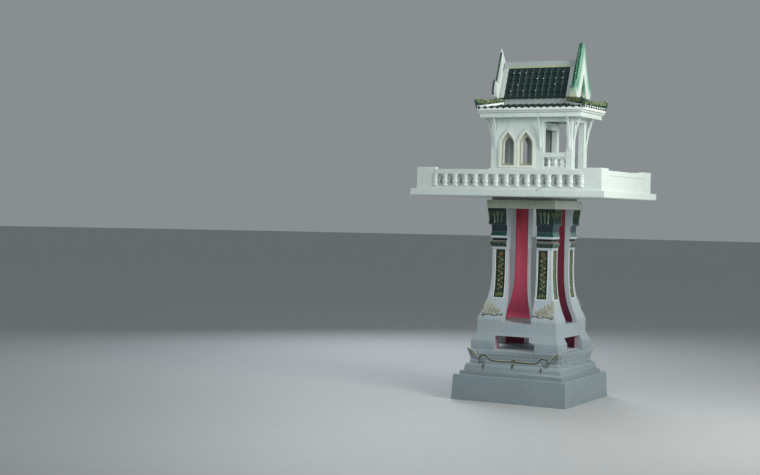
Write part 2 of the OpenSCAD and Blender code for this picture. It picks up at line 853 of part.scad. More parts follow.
plinth();
base_steps();
lion_foot_course();
foot(1, -1);  // foot_front_right
foot(1, 1);  // foot_front_left
foot(-1, -1);  // foot_back_right
foot(-1, 1);  // foot_back_left
pedestal_deck();
leg(1, -1);  // leg_front_right
leg(1, 1);  // leg_front_left
leg(-1, -1);  // leg_back_right
leg(-1, 1);  // leg_back_left
capital(1, -1);  // capital_front_right
capital(1, 1);  // capital_front_left
capital(-1, -1);  // capital_back_right
capital(-1, 1);  // capital_back_left
leg_panels();
top_slab();
bearing_pad();
terrace_floor();
parapet_front();
parapet_back();
parapet_right();
parapet_left();
corner_blocks();
house_base();
wall_right();
wall_left();
wall_back();
wall_door();
window_frames();
porch_posts();
porch_balustrades();
wall_beam();
eave_brackets();
cornice();
skirt_roof();
hip_ridges();
roof_neck();
roof_slope_right();
roof_slope_left();
ridge_cap();
gable_panels();
bargeboard_front();
bargeboard_back();
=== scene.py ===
"""Looks of a cast concrete spirit house: enamel paint, tiles, petals, scrolls, balusters and wear."""
import random
from math import atan2, cos, degrees, hypot, pi, radians, sin, sqrt

import bmesh
import bpy
from mathutils import Matrix, Vector


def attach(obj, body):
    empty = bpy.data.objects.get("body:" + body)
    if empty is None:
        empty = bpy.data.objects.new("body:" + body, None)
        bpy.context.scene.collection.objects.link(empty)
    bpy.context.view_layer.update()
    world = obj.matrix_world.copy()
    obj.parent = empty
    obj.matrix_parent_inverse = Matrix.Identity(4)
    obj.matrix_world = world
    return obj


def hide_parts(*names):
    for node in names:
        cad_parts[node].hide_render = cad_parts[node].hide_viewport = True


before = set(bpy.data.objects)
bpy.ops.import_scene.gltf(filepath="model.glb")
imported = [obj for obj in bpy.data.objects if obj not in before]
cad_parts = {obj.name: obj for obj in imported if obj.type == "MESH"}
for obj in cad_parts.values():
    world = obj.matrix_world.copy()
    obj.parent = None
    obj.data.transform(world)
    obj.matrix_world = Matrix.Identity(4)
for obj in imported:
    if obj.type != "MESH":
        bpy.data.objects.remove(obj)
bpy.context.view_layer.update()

# Sizes are in mm in this script; each finished piece is brought to metres once, at the end
MM = 0.001
X, Y, Z = Vector((1, 0, 0)), Vector((0, 1, 0)), Vector((0, 0, 1))
chance = random.Random(7)

# Sizes that the castings set

# Half widths of the pedestal's shaft and feet, and of the openings between the legs and between the feet
SHAFT_HALF, FOOT_HALF, GAP_HALF, FOOT_GAP_HALF = 198, 290, 98, 136
# How far the legs flare, their foot and height, and the foot of their capitals
LEG_FLARE, LEG_Z, LEG_H, CAPITAL_Z = 64, 485, 458, 943
# The legs' inlays: lowest and highest level, and their edges from the middle of a face
PANEL_LOW, PANEL_HIGH, PANEL_IN, PANEL_OUT = 641, 935, 114, 170
# The parapets' outer faces, the terrace's edge and top, and the reach of the corner blocks
PARAPET_X, PARAPET_Y, TERRACE_Y, FLOOR_TOP, CORNER = 603, 472, 502, 1311, 125
BAY_PITCH, BAY_LOW, BAY_DEEP = 68.3, 19, 16
# The skirt roof: its eaves, and the neck that it rises to
EAVE_BACK, EAVE_FRONT, EAVE_HALF, EAVE_Z = -328, 381, 212, 1824
NECK_BACK, NECK_FRONT, NECK_HALF, NECK_Z = -196, 234, 80, 1854
# The upper roof: its slopes, the tile fields between the verge borders, and the ridge cap's foot
UPPER_BACK, UPPER_FRONT, UPPER_HALF, UPPER_FOOT, RIDGE = -226, 264, 89, 1894, 2130
FIELD_BACK, FIELD_FRONT, FIELD_TOP = -191, 225, 2090
# The bargeboards' raked edges, from their apex to the notch over the ears
BOARD_APEX, BOARD_NOTCH_Y, BOARD_NOTCH_Z = 2238, 93.5, 1985
BACK_APEX, BACK_NOTCH_Y, BACK_NOTCH_Z = 2222, 83.9, 1995


def moved(x, y, z):
    """A place moved by this much from the one it is laid on."""
    return Matrix.Translation((x, y, z))


def facing_place(corner, across, up):
    """The place of a flat thing whose x runs along across, whose y runs along up, and whose z faces out."""
    across, up = Vector(across).normalized(), Vector(up).normalized()
    out = across.cross(up)
    turn = Matrix((across, up, out)).transposed().to_4x4()
    return Matrix.Translation(Vector(corner)) @ turn


# Camera and studio

# The camera was fitted to the object's own straight edges and corners in the photograph
YAW, PITCH, ROLL = (radians(angle) for angle in (28.4188, -1.1563, 1.2597))
FOCAL_PX = 1378.643
PHOTO_W = 760
FILM_W = 36.0
EYE = Vector((3303.5, -8160.3, 1172.0))


def stand_camera():
    """Stands the camera where the photograph was taken, and turns it the same way."""
    ahead = Vector((-sin(YAW) * cos(PITCH), cos(YAW) * cos(PITCH), sin(PITCH)))
    level = Vector((cos(YAW), sin(YAW), 0))
    above = level.cross(ahead)
    right = level * cos(ROLL) + above * sin(ROLL)
    up = above * cos(ROLL) - level * sin(ROLL)
    lens = bpy.data.cameras.new("photo_camera")
    lens.sensor_fit = "HORIZONTAL"
    lens.sensor_width = FILM_W
    lens.lens = FOCAL_PX * FILM_W / PHOTO_W
    lens.clip_end = 100
    camera = bpy.data.objects.new("photo_camera", lens)
    camera.matrix_world = facing_place(EYE * MM, right, up)
    bpy.context.scene.collection.objects.link(camera)
    bpy.context.scene.camera = camera


def soft_box(name, stand, aim, watts, wide, tint):
    """A square of soft light that stands at one point and faces another, both in mm."""
    light = bpy.data.lights.new(name, "AREA")
    light.shape = "SQUARE"
    light.size = wide * MM
    light.energy = watts
    light.color = linear(tint)[:3]
    lamp = bpy.data.objects.new(name, light)
    stand, aim = Vector(stand), Vector(aim)
    turn = (aim - stand).to_track_quat("-Z", "Y").to_matrix().to_4x4()
    lamp.matrix_world = Matrix.Translation(stand * MM) @ turn
    lamp.visible_camera = False
    bpy.context.scene.collection.objects.link(lamp)


def light_studio():
    """Soft boxes hung high, so that the house is brighter than the foot of its pedestal, in a grey room."""
    soft_box("key", (3000, -1150, 2400), (100, 0, 1500), 106, 1500, "#FFFCF6")
    soft_box("fill", (500, -3500, 2650), (0, 0, 1500), 36, 2000, "#FAFBFA")
    soft_box("back", (-2600, 2600, 2900), (0, 0, 1300), 95, 2400, "#F6F9FF")
    world = bpy.data.worlds.new("studio")
    world.use_nodes = True
    air = world.node_tree.nodes["Background"]
    air.inputs["Color"].default_value = linear("#AAB1B4")
    air.inputs["Strength"].default_value = 0.62
    bpy.context.scene.world = world
    bpy.context.scene.view_settings.view_transform = "Standard"


# Finishes

# A Mix node's colour sockets share their names with its number sockets, so they go by number
SHARE, UNDER, UPPER, MIXED = 0, 6, 7, 2
# Width and height in mm, detail and roughness of each pattern in the paint
PATTERNS = {
    "stroke": (9, 110, 2.0, 0.5), "cloud": (130, 130, 4.0, 0.6), "lump": (28, 28, 3.0, 0.5),
    "drip": (20, 260, 3.0, 0.5), "chip": (22, 22, 5.0, 0.62)}
PINHOLE, SOIL_TOP, WORN_EDGE = 16, 240, 2
# Colours of what lies on the paint or shows through it, and of the painted shade in pinholes
RUN_OFF, DUST, SOIL, HOLE_SHADOW, CASTING = "#6F7267", "#9A9C92", "#78807E", "#55564F", "#8C8A80"
# How soft the edge of a zone is, in mm, and how soft it is where a face turns away
BRUSH_SOFT, TURN_SOFT = 0.8, 0.002
# The raked edge of the front board runs where the half width plus this slope times the height is one value
RAKE_SLOPE = BOARD_NOTCH_Y / (BOARD_APEX - BOARD_NOTCH_Z)
RAKE_EDGE = RAKE_SLOPE * BOARD_APEX


def linear(code):
    """An sRGB hex colour as linear red, green, blue and alpha."""
    parts = [int(code[i:i + 2], 16) / 255 for i in (1, 3, 5)]
    return tuple(c / 12.92 if c <= 0.04045 else ((c + 0.055) / 1.055) ** 2.4 for c in parts) + (1.0,)


def add(tree, kind, inputs=None, **settings):
    """Adds a node with its settings, gives its inputs their values or links, and hands back its outputs."""
    made = tree.nodes.new("ShaderNode" + kind)
    for setting, value in settings.items():
        setattr(made, setting, value)
    for socket, value in (inputs or {}).items():
        if isinstance(value, bpy.types.NodeSocket):
            tree.links.new(value, made.inputs[socket])
        else:
            made.inputs[socket].default_value = value
    return made.outputs


def per_metre(size_mm):
    """The texture scale that makes one feature this many mm across."""
    return 1 / (size_mm * MM)


def places_of(tree):
    """What zones and wear go by: x, y and z in mm, nx, ny and nz for the way a face looks, and the patterns.

    A name between bars has no sign. out is under 0 on faces that look towards the middle of the pedestal,
    and rake follows the raked edge of the front board."""
    coordinates = add(tree, "TexCoord")
    place, normal = coordinates["Object"], coordinates["Normal"]
    in_mm = add(tree, "VectorMath", {0: place, "Scale": 1 / MM}, operation="SCALE")[0]
    places = {}
    for letter, vector in (("", in_mm), ("n", normal)):
        signless = add(tree, "VectorMath", {0: vector}, operation="ABSOLUTE")[0]
        for form, source in (("{}{}", vector), ("|{}{}|", signless)):
            parts = add(tree, "SeparateXYZ", {0: source})
            places.update({form.format(letter, axis): part for axis, part in zip("xyz", parts)})
    plan = add(tree, "VectorMath", {0: in_mm, 1: (1, 1, 0)}, operation="MULTIPLY")[0]
    places["out"] = add(tree, "VectorMath", {0: plan, 1: normal}, operation="DOT_PRODUCT")["Value"]
    places["rake"] = add(
        tree, "Math", {0: places["z"], 1: RAKE_SLOPE, 2: places["|y|"]}, operation="MULTIPLY_ADD")[0]
    for key, (wide, tall, detail, rough) in PATTERNS.items():
        scale = (per_metre(wide), per_metre(wide), per_metre(tall))
        scaled = add(tree, "Mapping", {"Vector": place, "Scale": scale})[0]
        places[key] = add(tree, "TexNoise", {
            "Vector": scaled, "Scale": 1.0, "Detail": detail, "Roughness": rough})[0]
    places["hole"] = add(tree, "TexVoronoi", {"Vector": place, "Scale": per_metre(PINHOLE)})["Distance"]
    return places


def covered(tree, places, limits):
    """The share of paint in one zone, 1 where every limit holds.

    A limit is (place, low, high), with None where it is open, or a fade: (place, start, end, share at the
    start, share at the end, and its curve if it is not straight)."""
    share = 1.0
    for place, low, high, *fade in limits:
        soft = TURN_SOFT if "n" in place else BRUSH_SOFT
        ramps = [(low, high, *fade)] if fade else [
            (edge - inward * soft, edge + inward * soft, 0, 1)
            for edge, inward in ((low, 1), (high, -1)) if edge is not None]
        for start, end, first, last, *curve in ramps:
            part = add(tree, "MapRange", {0: places[place], 1: start, 2: end, 3: first, 4: last},
                       interpolation_type=curve[0] if curve else "LINEAR")[0]
            share = add(tree, "Math", {0: share, 1: part}, operation="MULTIPLY")[0]
    return share


def painted(tree, places, colour, zones):
    """Paints zones over a colour, one after the other: each is its paint and then its limits."""
    for paint, *limits in zones:
        coat = {SHARE: covered(tree, places, limits), UNDER: colour, UPPER: linear(paint)}
        colour = add(tree, "Mix", coat, data_type="RGBA")[MIXED]
    return colour


def enamel(name, ground, thin="#F6F8F8", gloss=0.36, dust=0.2, soil=0.0, chips=0.35, patchy=0.25,
           drips=0.07, metal=0.0, bare=CASTING, relief=0.22):
    """Brushed enamel on cast concrete. ground is a colour, or a colour and then the zones painted over it.

    The eye gets brush strokes, cloudy thin places, soil that ran down, dust on ledges and chips down to
    the grey casting, and a soft gloss that the strokes break up. thin is how strokes tint the ground."""
    material = bpy.data.materials.new(name)
    material.use_nodes = True
    tree = material.node_tree
    shader = tree.nodes["Principled BSDF"].inputs
    places = places_of(tree)

    base, *zones = (ground,) if isinstance(ground, str) else ground
    colour = painted(tree, places, linear(base), zones)
    brushed = add(tree, "Math", {0: places["stroke"], 1: places["cloud"]}, operation="ADD")[0]
    thinned = add(tree, "MapRange", {0: brushed, 1: 0.78, 2: 1.22})[0]
    colour = add(tree, "Mix", {SHARE: thinned, UNDER: colour, UPPER: linear(thin)},
                 data_type="RGBA", blend_type="MULTIPLY")[MIXED]
    worn = [("cloud", 0.56, 0.74, 0, patchy * 0.4)]
    dusty = [("nz", 0.55, 0.95, 0, dust), ("lump", 0.3, 0.6, 0.5, 1)]
    wear = [(bare, *worn), (RUN_OFF, ("drip", 0.52, 0.76, 0, drips)), (DUST, *dusty)]
    if soil:
        splashed = [("z", 0, SOIL_TOP, soil, 0, "SMOOTHSTEP"), ("cloud", 0.3, 0.7, 0.5, 1)]
        wear.append((SOIL, *splashed))
    wear += [(bare, ("chip", 0.735, 0.75, 0, chips)), (HOLE_SHADOW, ("hole", 0.05, 0.09, 0.22, 0))]
    tree.links.new(painted(tree, places, colour, wear), shader["Base Color"])

    rough = add(tree, "MapRange", {
        0: places["stroke"], 1: 0.3, 2: 0.7, 3: gloss - 0.05, 4: gloss + 0.08})[0]
    for dull in (worn, dusty):
        more = covered(tree, places, dull)
        rough = add(tree, "Math", {0: rough, 1: more}, operation="ADD", use_clamp=True)[0]
    tree.links.new(rough, shader["Roughness"])
    shader["Metallic"].default_value = metal
    shader["IOR"].default_value = 1.5

    soft_edge = add(tree, "Bevel", {"Radius": WORN_EDGE * MM}, samples=4)[0]
    height = add(tree, "Math", {0: places["lump"], 1: 4.0, 2: places["stroke"]}, operation="MULTIPLY_ADD")[0]
    bump = add(tree, "Bump", {
        "Height": height, "Strength": 0.5, "Distance": relief * MM, "Normal": soft_edge})[0]
    tree.links.new(bump, shader["Normal"])
    return material


# Zones, with limits in mm. Ends are the faces at the entrance and the back, painted lighter than the long
# sides as painted light

# The legs' white is greyer and bluer than the house's white: painted shade
WHITE_HOUSE, WHITE_LEGS = "#D6E2DE", "#C3CED4"
# The pedestal's white, greyer toward the ground: painted shade
SHADED_STAND_WHITE = ("#88979F", (WHITE_LEGS, ("z", 200, 1000, 0, 1)))
UPWARD, LONG_SIDE = ("nz", 0.9, None), ("|ny|", 0.5, None)
END, NOT_END = ("|nx|", 0.6, None), ("|nx|", None, 0.6)
# The painted bands of a capital: lowest and highest level, paint on the long sides and paint on the ends,
# which is lighter as painted light
# The near-black band from 996 to 1011 mm is painted shade in the capital's recessed neck
CAPITAL_BANDS = (
    (957, 985, "#12382F", "#476858"), (986, 994, "#563E20", "#6E5734"),
    (996, 1011, "#0B1B1C", "#1B2A2A"), (1026, 1052, "#1C4A45", "#5E8480"),
    (1052, 1098, "#122A35", "#36525A"), (1098, 1132, "#0D2D29", "#23585A"),
    (1132, 1200, "#0C2C24", "#4C5F33"))


def crimson(gap_half):
    """The crimson wash on faces that look inward, with a redder crimson that fades in going up."""
    inward = (("out", None, -10), ("|x|", gap_half + 1.5, None), ("|y|", gap_half + 1.5, None))
    return (("#AE4460", *inward), ("#C64259", ("z", 650, 1150, 0, 1), *inward))


def crimson_inside(gap_half, width):
    """White outside, crimson inside, and a pinkish grey that fades in over the ends that border an opening.
    """
    wash = tuple(
        ("#BE8C9A", (end, None, gap_half + 1.5), (reach, width - 20, width - 58, 0, 1))
        for end, reach in (("|x|", "|y|"), ("|y|", "|x|")))
    return SHADED_STAND_WHITE + wash + crimson(gap_half)


def leg_zones():
    """A leg: white, crimson inside, with the inlays' dark paint run up over their top edge."""
    runs = tuple(
        ("#12291F", ("z", PANEL_LOW, CAPITAL_Z - 2), (across, PANEL_IN - 3.5, PANEL_OUT + 3),
         (out, SHAFT_HALF - 8, None))
        for across, out in (("|x|", "|y|"), ("|y|", "|x|")))
    return crimson_inside(GAP_HALF, SHAFT_HALF) + runs


def capital_zones():
    """A capital: bands on its outer faces by height, lighter on the end faces as painted light, white ends by
    the openings, crimson inside.
    """
    zones = [WHITE_LEGS]
    for low, high, side_paint, end_paint in CAPITAL_BANDS:
        zones += [(side_paint, ("z", low, high), NOT_END), (end_paint, ("z", low, high), END)]
    zones += [(WHITE_LEGS, (axis, None, GAP_HALF + 1.5)) for axis in ("|x|", "|y|")]
    return zones + [*crimson(GAP_HALF)]


# White outside, and a grey unpainted floor between the legs
DECK = SHADED_STAND_WHITE + (("#757C80", UPWARD, ("|x|", None, 232), ("|y|", None, 232)),)
# White outside, and a pale top inside the feet: painted light that lifts the shade there
LION_COURSE = SHADED_STAND_WHITE + (("#D3DADD", UPWARD, ("|x|", None, 276), ("|y|", None, 276)),)
# White walls with tan rebates at the windows greyed as painted shade, near-white reveals as a painted
# highlight, and grey cement in the room
WALLS = (
    WHITE_HOUSE, ("#A9A996", ("|y|", 124, 131), LONG_SIDE),
    ("#FBFBF6", ("|y|", 106, 128.5), ("z", 1475, 1680), ("x", -182, 34), ("|ny|", None, 0.5)),
    ("#9CA4A6", ("x", -222.5, 65.5), ("z", 1450, 1769.5), ("|y|", None, 106)))
# White parapets whose sunk bays are painted grey as shade in the recesses
PARAPETS = (WHITE_HOUSE, ("#C2CBC7", ("|y|", 454, 460)), ("#C2CBC7", ("|x|", 584, 591)))
# Green edges, darker behind and mint in front, and a face that pales from green to white, with a cream foot
FRONT_BOARD = (
    "#1F684F", ("#0E3A2F", ("x", 262, 275)), ("#7FB79F", ("x", 293, 307)),
    ("#C9DCC9", ("z", 1962, 1915, 0, 0.85)), ("#5FA384", ("|nx|", 0.7, None)),
    ("#DCE9E3", ("|nx|", 0.7, None), ("rake", RAKE_EDGE, RAKE_EDGE - 42, 0, 1)),
    ("#DCE9E3", ("|nx|", 0.7, None), ("z", 1962, 1915, 0, 0.85)), ("#F4F0C4", ("nz", None, -0.6)))
# White, with the outer part of its edges dark green up to a white tip
BACK_BOARD = (WHITE_HOUSE, ("#143F35", ("|nx|", None, 0.7), ("x", None, -245), ("z", 1915, 2196)))
# White, greyer than the house and greyer still along the ridge as painted shade, with a thin yellow-green
# line along the ridge cap's lower edge
RIDGE_CAP = (
    "#C0CBC7", ("#AAB6B2", ("z", FIELD_TOP - 1, FIELD_TOP + 50)),
    ("#B4BF8C", ("z", FIELD_TOP + 2, FIELD_TOP + 10), ("|ny|", 0.3, None), ("x", FIELD_BACK, FIELD_FRONT)))

# Enamelled cast concrete of the house and terrace: brushed, glossy, slightly cool white
house_white = enamel("brushed_enamel_white", WHITE_HOUSE)
# The same enamel on the pedestal: thinner, greyer toward the ground as painted shade, and a little soiled
# toward the ground
stand_white = enamel("brushed_enamel_white_painted_shade", SHADED_STAND_WHITE, gloss=0.44, dust=0.12, soil=0.3)
lion_paint = enamel("brushed_enamel_lion_foot", LION_COURSE, gloss=0.44, dust=0.0, soil=0.3)
deck_paint = enamel("enamel_white_and_grey_floor", DECK, gloss=0.45, dust=0.12)
# Legs and feet: cool white outside with the pedestal's painted shade, brushed crimson wash inside, and a
# pinkish grey over the ends by the openings
leg_paint = enamel("enamel_white_and_crimson_wash", leg_zones(), gloss=0.42, dust=0.15)
foot_paint = enamel("enamel_white_and_crimson_foot", crimson_inside(FOOT_GAP_HALF, FOOT_HALF), gloss=0.42,
                    dust=0.15)
# Capitals and inlays: dark green and navy enamel, thick and glossy, over the same casting, painted lighter on
# the ends as painted light
capital_paint = enamel("enamel_green_and_navy", capital_zones(), gloss=0.3, dust=0.1)
panel_paint = enamel("enamel_dark_green_inlay", ("#0E2C25", ("#4E7060", ("|nx|", 0.5, None))),
                     thin="#D8E4DA", gloss=0.3, dust=0.0)
# Walls, frames and parapets: the house white, greyed by painted shade in the window rebates and sunk bays,
# brighter on the window reveals as a painted highlight, and tan-cream on the frames' side faces
wall_paint = enamel("enamel_white_walls_bare_cement_inside", WALLS)
frame_paint = enamel("enamel_cream_white", ("#E2EAE4", ("#C6C6B0", ("|ny|", None, 0.5))), gloss=0.34,
                     dust=0.1)
parapet_paint = enamel("enamel_white_painted_shade_in_bays", PARAPETS)
bright_white = enamel("fresh_enamel_white", "#EEF3F1", gloss=0.34, dust=0.05, drips=0.03)
# Under the eaves of the upper roof the white is painted grey as shade
neck_paint = enamel("enamel_white_grey_painted_shade", "#AAB8B6", dust=0.3, drips=0.2)
# Boards and ridge: gloss enamel in several greens and white, brushed into each other wet
front_board_paint = enamel("enamel_green_and_mint_board", FRONT_BOARD, gloss=0.32)
back_board_paint = enamel("enamel_white_and_green_edge", BACK_BOARD)
cap_paint = enamel("enamel_white_with_green_line", RIDGE_CAP)
# Roof green: hard gloss enamel, so dark that only the light on it shows its colour
roof_green = enamel("gloss_enamel_dark_green", "#0B2F2E", thin="#D4E2E4", gloss=0.44, dust=0.04, drips=0.04,
                    chips=0.2, patchy=0.1)
# Hip bars: the same green gone matt, with paler tips at the corners of the eaves
hip_paint = enamel("enamel_dark_green_pale_tips", (
    "#123A30", ("#93A892", ("|y|", EAVE_HALF - 6, None), ("z", 1878, None))), gloss=0.86, dust=0.05)
# Ornament greens: thick glossy strokes and dabs, from near black leaves to pale mint lights
leaf_green = enamel("enamel_leaf_green", "#0E332B", thin="#D0E2D6", gloss=0.32, dust=0.05, drips=0.04,
                    chips=0.2)
frond_paint = enamel("enamel_olive_green", "#5F7038", thin="#C8D0B0", gloss=0.34, dust=0.0, drips=0.04)
pale_green = enamel("enamel_pale_yellow_green", "#B7C489", thin="#D8DDC8", gloss=0.4, dust=0.05)
tip_paint = enamel("enamel_mint_scale_tips", "#8DBB9E", thin="#D2E0D6", gloss=0.34, dust=0.0)
# Pale mint dabs that are painted highlights: on bright tile noses and on the lower tip of a capital rib
glint_paint = enamel("enamel_pale_mint_painted_highlight", "#C4D6CC", gloss=0.3, dust=0.0)
# Grey-green for the capitals' ribs and the back board's flecks, and for the dimmer painted highlights on tile
# noses
rib_paint = enamel("enamel_grey_green", "#84947F", thin="#D2DCD4", gloss=0.4, dust=0.05)
# Bare cement mortar: sanded, matt and grey, painted lighter on the ends as painted light
mortar = enamel("bare_cement_mortar", ("#C4C7B8", ("#F6F6EC", END)), thin="#EEEEE8", gloss=0.78, dust=0.15,
                drips=0.05, chips=0.2, relief=0.33)
# Bronze-powder gold paint: dull yellow metal flake in varnish, brushed thin
gold_paint = enamel("bronze_powder_gold_paint", "#838358", thin="#CFCBA8", gloss=0.4, dust=0.0,
                    metal=0.3, bare="#7E7A62", relief=0.11)
# Flowers, buds and dabs on the inlays: flat strokes of ochre, yellow-green and cream
flower_paint = enamel("ochre_gold_paint", "#8E6A33", thin="#D8C9A8", gloss=0.4, dust=0.0, metal=0.2,
                      relief=0.11)
bud_paint = enamel("yellow_green_paint", "#6F7836", thin="#C8CC9A", gloss=0.4, dust=0.0, relief=0.11)
dab_paint = enamel("pale_cream_paint", "#D3D3B8", thin="#DEDCC8", gloss=0.42, dust=0.0, relief=0.11)
# Thin gold over white: pale and matt, with darker outlines and veins brushed round it
flame_paint = enamel("thin_pale_gold_paint", "#BDBEAC", thin="#DAD8C6", gloss=0.46, dust=0.0, drips=0.2,
                     relief=0.11)
olive_paint = enamel("dark_olive_line_paint", "#4F5445", thin="#CFCFBE", gloss=0.46, dust=0.0, relief=0.11)
vein_paint = enamel("thin_brown_olive_paint", "#6C6852", thin="#DCD8C4", gloss=0.46, dust=0.0, relief=0.11)
shadow_paint = enamel("thin_olive_paint_on_white", "#A5AAA0", thin="#DCDACB", gloss=0.46, dust=0.0,
                      relief=0.11)
# An open hairline in the casting holds dirt and reads as a dark line
crack_dirt = enamel("dirt_in_hairline_crack", "#3C403C", gloss=0.9, dust=0.0, drips=0.0, chips=0.0)
# The studio floor: pale, matt and even
floor_paint = enamel("pale_studio_floor", "#B4B8B9", thin="#F8F9F9", gloss=0.7, dust=0.0, drips=0.0,
                     chips=0.0, patchy=0.0, relief=0.055)


# Making pieces

def finish_piece(name, shape, paint, smooth=35):
    """Turns a bmesh in mm into a piece in metres that rides on the one body."""
    bmesh.ops.scale(shape, vec=(MM, MM, MM), verts=shape.verts)
    mesh = bpy.data.meshes.new(name)
    shape.to_mesh(mesh)
    shape.free()
    mesh.materials.append(paint)
    mesh.shade_smooth()
    mesh.set_sharp_from_angle(angle=radians(smooth))
    piece = bpy.data.objects.new(name, mesh)
    bpy.context.scene.collection.objects.link(piece)
    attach(piece, "root")
    return piece


def lay(shape, part, place):
    """Copies one small part, a mesh in mm, into shape at its place, before anything is trimmed off shape."""
    before = len(shape.verts)
    shape.from_mesh(part)
    shape.verts.ensure_lookup_table()
    bmesh.ops.transform(shape, matrix=place, verts=shape.verts[before:])


def part_of(shape):
    """Keeps a bmesh as a mesh to copy from."""
    mesh = bpy.data.meshes.new("part")
    shape.to_mesh(mesh)
    shape.free()
    return mesh


def block(shape, low, high, edge):
    """A box between two corners with eased edges."""
    low, high = Vector(low), Vector(high)
    made = bmesh.ops.create_cube(shape, size=1.0)["verts"]
    bmesh.ops.scale(shape, vec=high - low, verts=made)
    bmesh.ops.translate(shape, vec=(high + low) / 2, verts=made)
    edges = list({e for v in made for e in v.link_edges})
    bmesh.ops.bevel(shape, geom=edges, offset=edge, segments=2, profile=0.5, affect="EDGES", material=-1)


def bead(shape, size, place, across, rings):
    """A lens or bead with these half sizes along x, y and z, at its place."""
    made = bmesh.ops.create_uvsphere(shape, u_segments=across, v_segments=rings, radius=1.0)["verts"]
    bmesh.ops.scale(shape, vec=Vector(size), verts=made)
    bmesh.ops.transform(shape, matrix=place, verts=made)


def turned(profile, steps):
    """A turned part from (radius, height) points, closed at its ends."""
    shape = bmesh.new()
    rim = [shape.verts.new((radius, 0, height)) for radius, height in profile]
    edges = [shape.edges.new(pair) for pair in zip(rim, rim[1:])]
    bmesh.ops.spin(shape, geom=rim + edges, axis=(0, 0, 1), cent=(0, 0, 0), angle=2 * pi,
                   steps=steps, use_merge=True)
    bmesh.ops.remove_doubles(shape, verts=shape.verts, dist=0.01)
    bmesh.ops.recalc_face_normals(shape, faces=shape.faces)
    return part_of(shape)


def strokes_of(lines, flat=0.55):
    """Brush-like raised strokes: each line is a list of (x, y, half width) on a sheet whose z faces out."""
    curve = bpy.data.curves.new("strokes", "CURVE")
    curve.dimensions = "3D"
    curve.bevel_depth = 1.0
    curve.bevel_resolution = 1
    curve.use_fill_caps = True
    for line in lines:
        spline = curve.splines.new("POLY")
        spline.points.add(len(line) - 1)
        for point, (x, y, half) in zip(spline.points, line):
            point.co = (x, y, 0, 1)
            point.radius = half
    holder = bpy.data.objects.new("strokes", curve)
    mesh = bpy.data.meshes.new_from_object(holder)
    bpy.data.objects.remove(holder)
    bpy.data.curves.remove(curve)
    shape = bmesh.new()
    shape.from_mesh(mesh)
    bpy.data.meshes.remove(mesh)
    bmesh.ops.remove_doubles(shape, verts=shape.verts, dist=0.01)
    bmesh.ops.recalc_face_normals(shape, faces=shape.faces)
    bmesh.ops.scale(shape, vec=(1, 1, flat), verts=shape.verts)
    return part_of(shape)


def curl(x, y, radius, start, hand, turns=1.35, width=2.2, steps=16):
    """A spiral stroke that winds in towards (x, y) from an angle in degrees."""
    line = []
    for i in range(steps + 1):
        share = i / steps
        angle = radians(start) + hand * share * turns * 2 * pi
        reach = radius * (1 - 0.86 * share)
        line.append((x + reach * cos(angle), y + reach * sin(angle), width * (1 - 0.45 * share)))
    return line


def leaf(x, y, length, angle, bend, width=3.4, steps=7):
    """A pointed leaf stroke from (x, y), thick in the belly, that bends as it goes."""
    line = []
    heading = radians(angle)
    for i in range(steps + 1):
        share = i / steps
        swell = sin(pi * min(1, 0.12 + 0.88 * share)) ** 0.8
        line.append((x, y, max(0.35, width * swell)))
        x += length / steps * cos(heading)
        y += length / steps * sin(heading)
        heading += radians(bend) / steps
    return line


def rosette(x, y, angles, length, width):
    """Leaf strokes that point outward all round a middle, which they leave 3 mm free."""
    return [leaf(x + 3 * cos(radians(angle)), y + 3 * sin(radians(angle)), length, angle, 0, width)
            for angle in angles]


def wave(x, y, length, swing, count, width=2.0, steps=36):
    """An upright stem that swings from side to side."""
    return [(x + swing * sin(2 * pi * count * i / steps), y + length * i / steps, width)
            for i in range(steps + 1)]


# Roofs

# Tiles of each upper slope, along it and up it
COLUMNS, ROWS = 10, 5
# How far a tile may lie out of line in mm and in degrees, and how many noses carry a bright dab of painted
# highlight
TILE_JOG, TILE_TILT, BRIGHT_SHARE = 0.7, 0.7, 0.3
# Half sizes of the dabs on the noses, which are painted highlights
DIM_DAB, BRIGHT_DAB = (3.4, 2.6, 2.0), (4.6, 3.6, 2.6)


def barrel_tile(length, low, high):
    """One raised barrel, its rounded nose at y = 0, half sunk in the roof."""
    shape = bmesh.new()
    made = bmesh.ops.create_cone(
        shape, cap_ends=True, segments=12, radius1=low, radius2=high, depth=length)["verts"]
    bmesh.ops.rotate(shape, cent=(0, 0, 0), matrix=Matrix.Rotation(-pi / 2, 3, "X"), verts=made)
    bmesh.ops.translate(shape, vec=(0, length / 2, 0), verts=made)
    nose = [e for e in shape.edges if all(v.co.y < 0.01 for v in e.verts)]
    bmesh.ops.bevel(shape, geom=nose, offset=low * 0.42, segments=2, profile=0.5, affect="EDGES", material=-1)
    return shape


def pan_tile(width, length, lift, sag):
    """One trough between two barrels, its lower end raised over the next course."""
    shape = bmesh.new()
    bmesh.ops.create_grid(shape, x_segments=4, y_segments=1, size=0.5)
    for v in shape.verts:
        share = 2 * v.co.x
        lower = 0.5 - v.co.y
        v.co = Vector((v.co.x * width, (v.co.y + 0.5) * length, lift * (0.35 + lower) + sag * share * share))
    bmesh.ops.solidify(shape, geom=shape.faces[:] + shape.edges[:] + shape.verts[:], thickness=2.4)
    bmesh.ops.recalc_face_normals(shape, faces=shape.faces)
    return shape


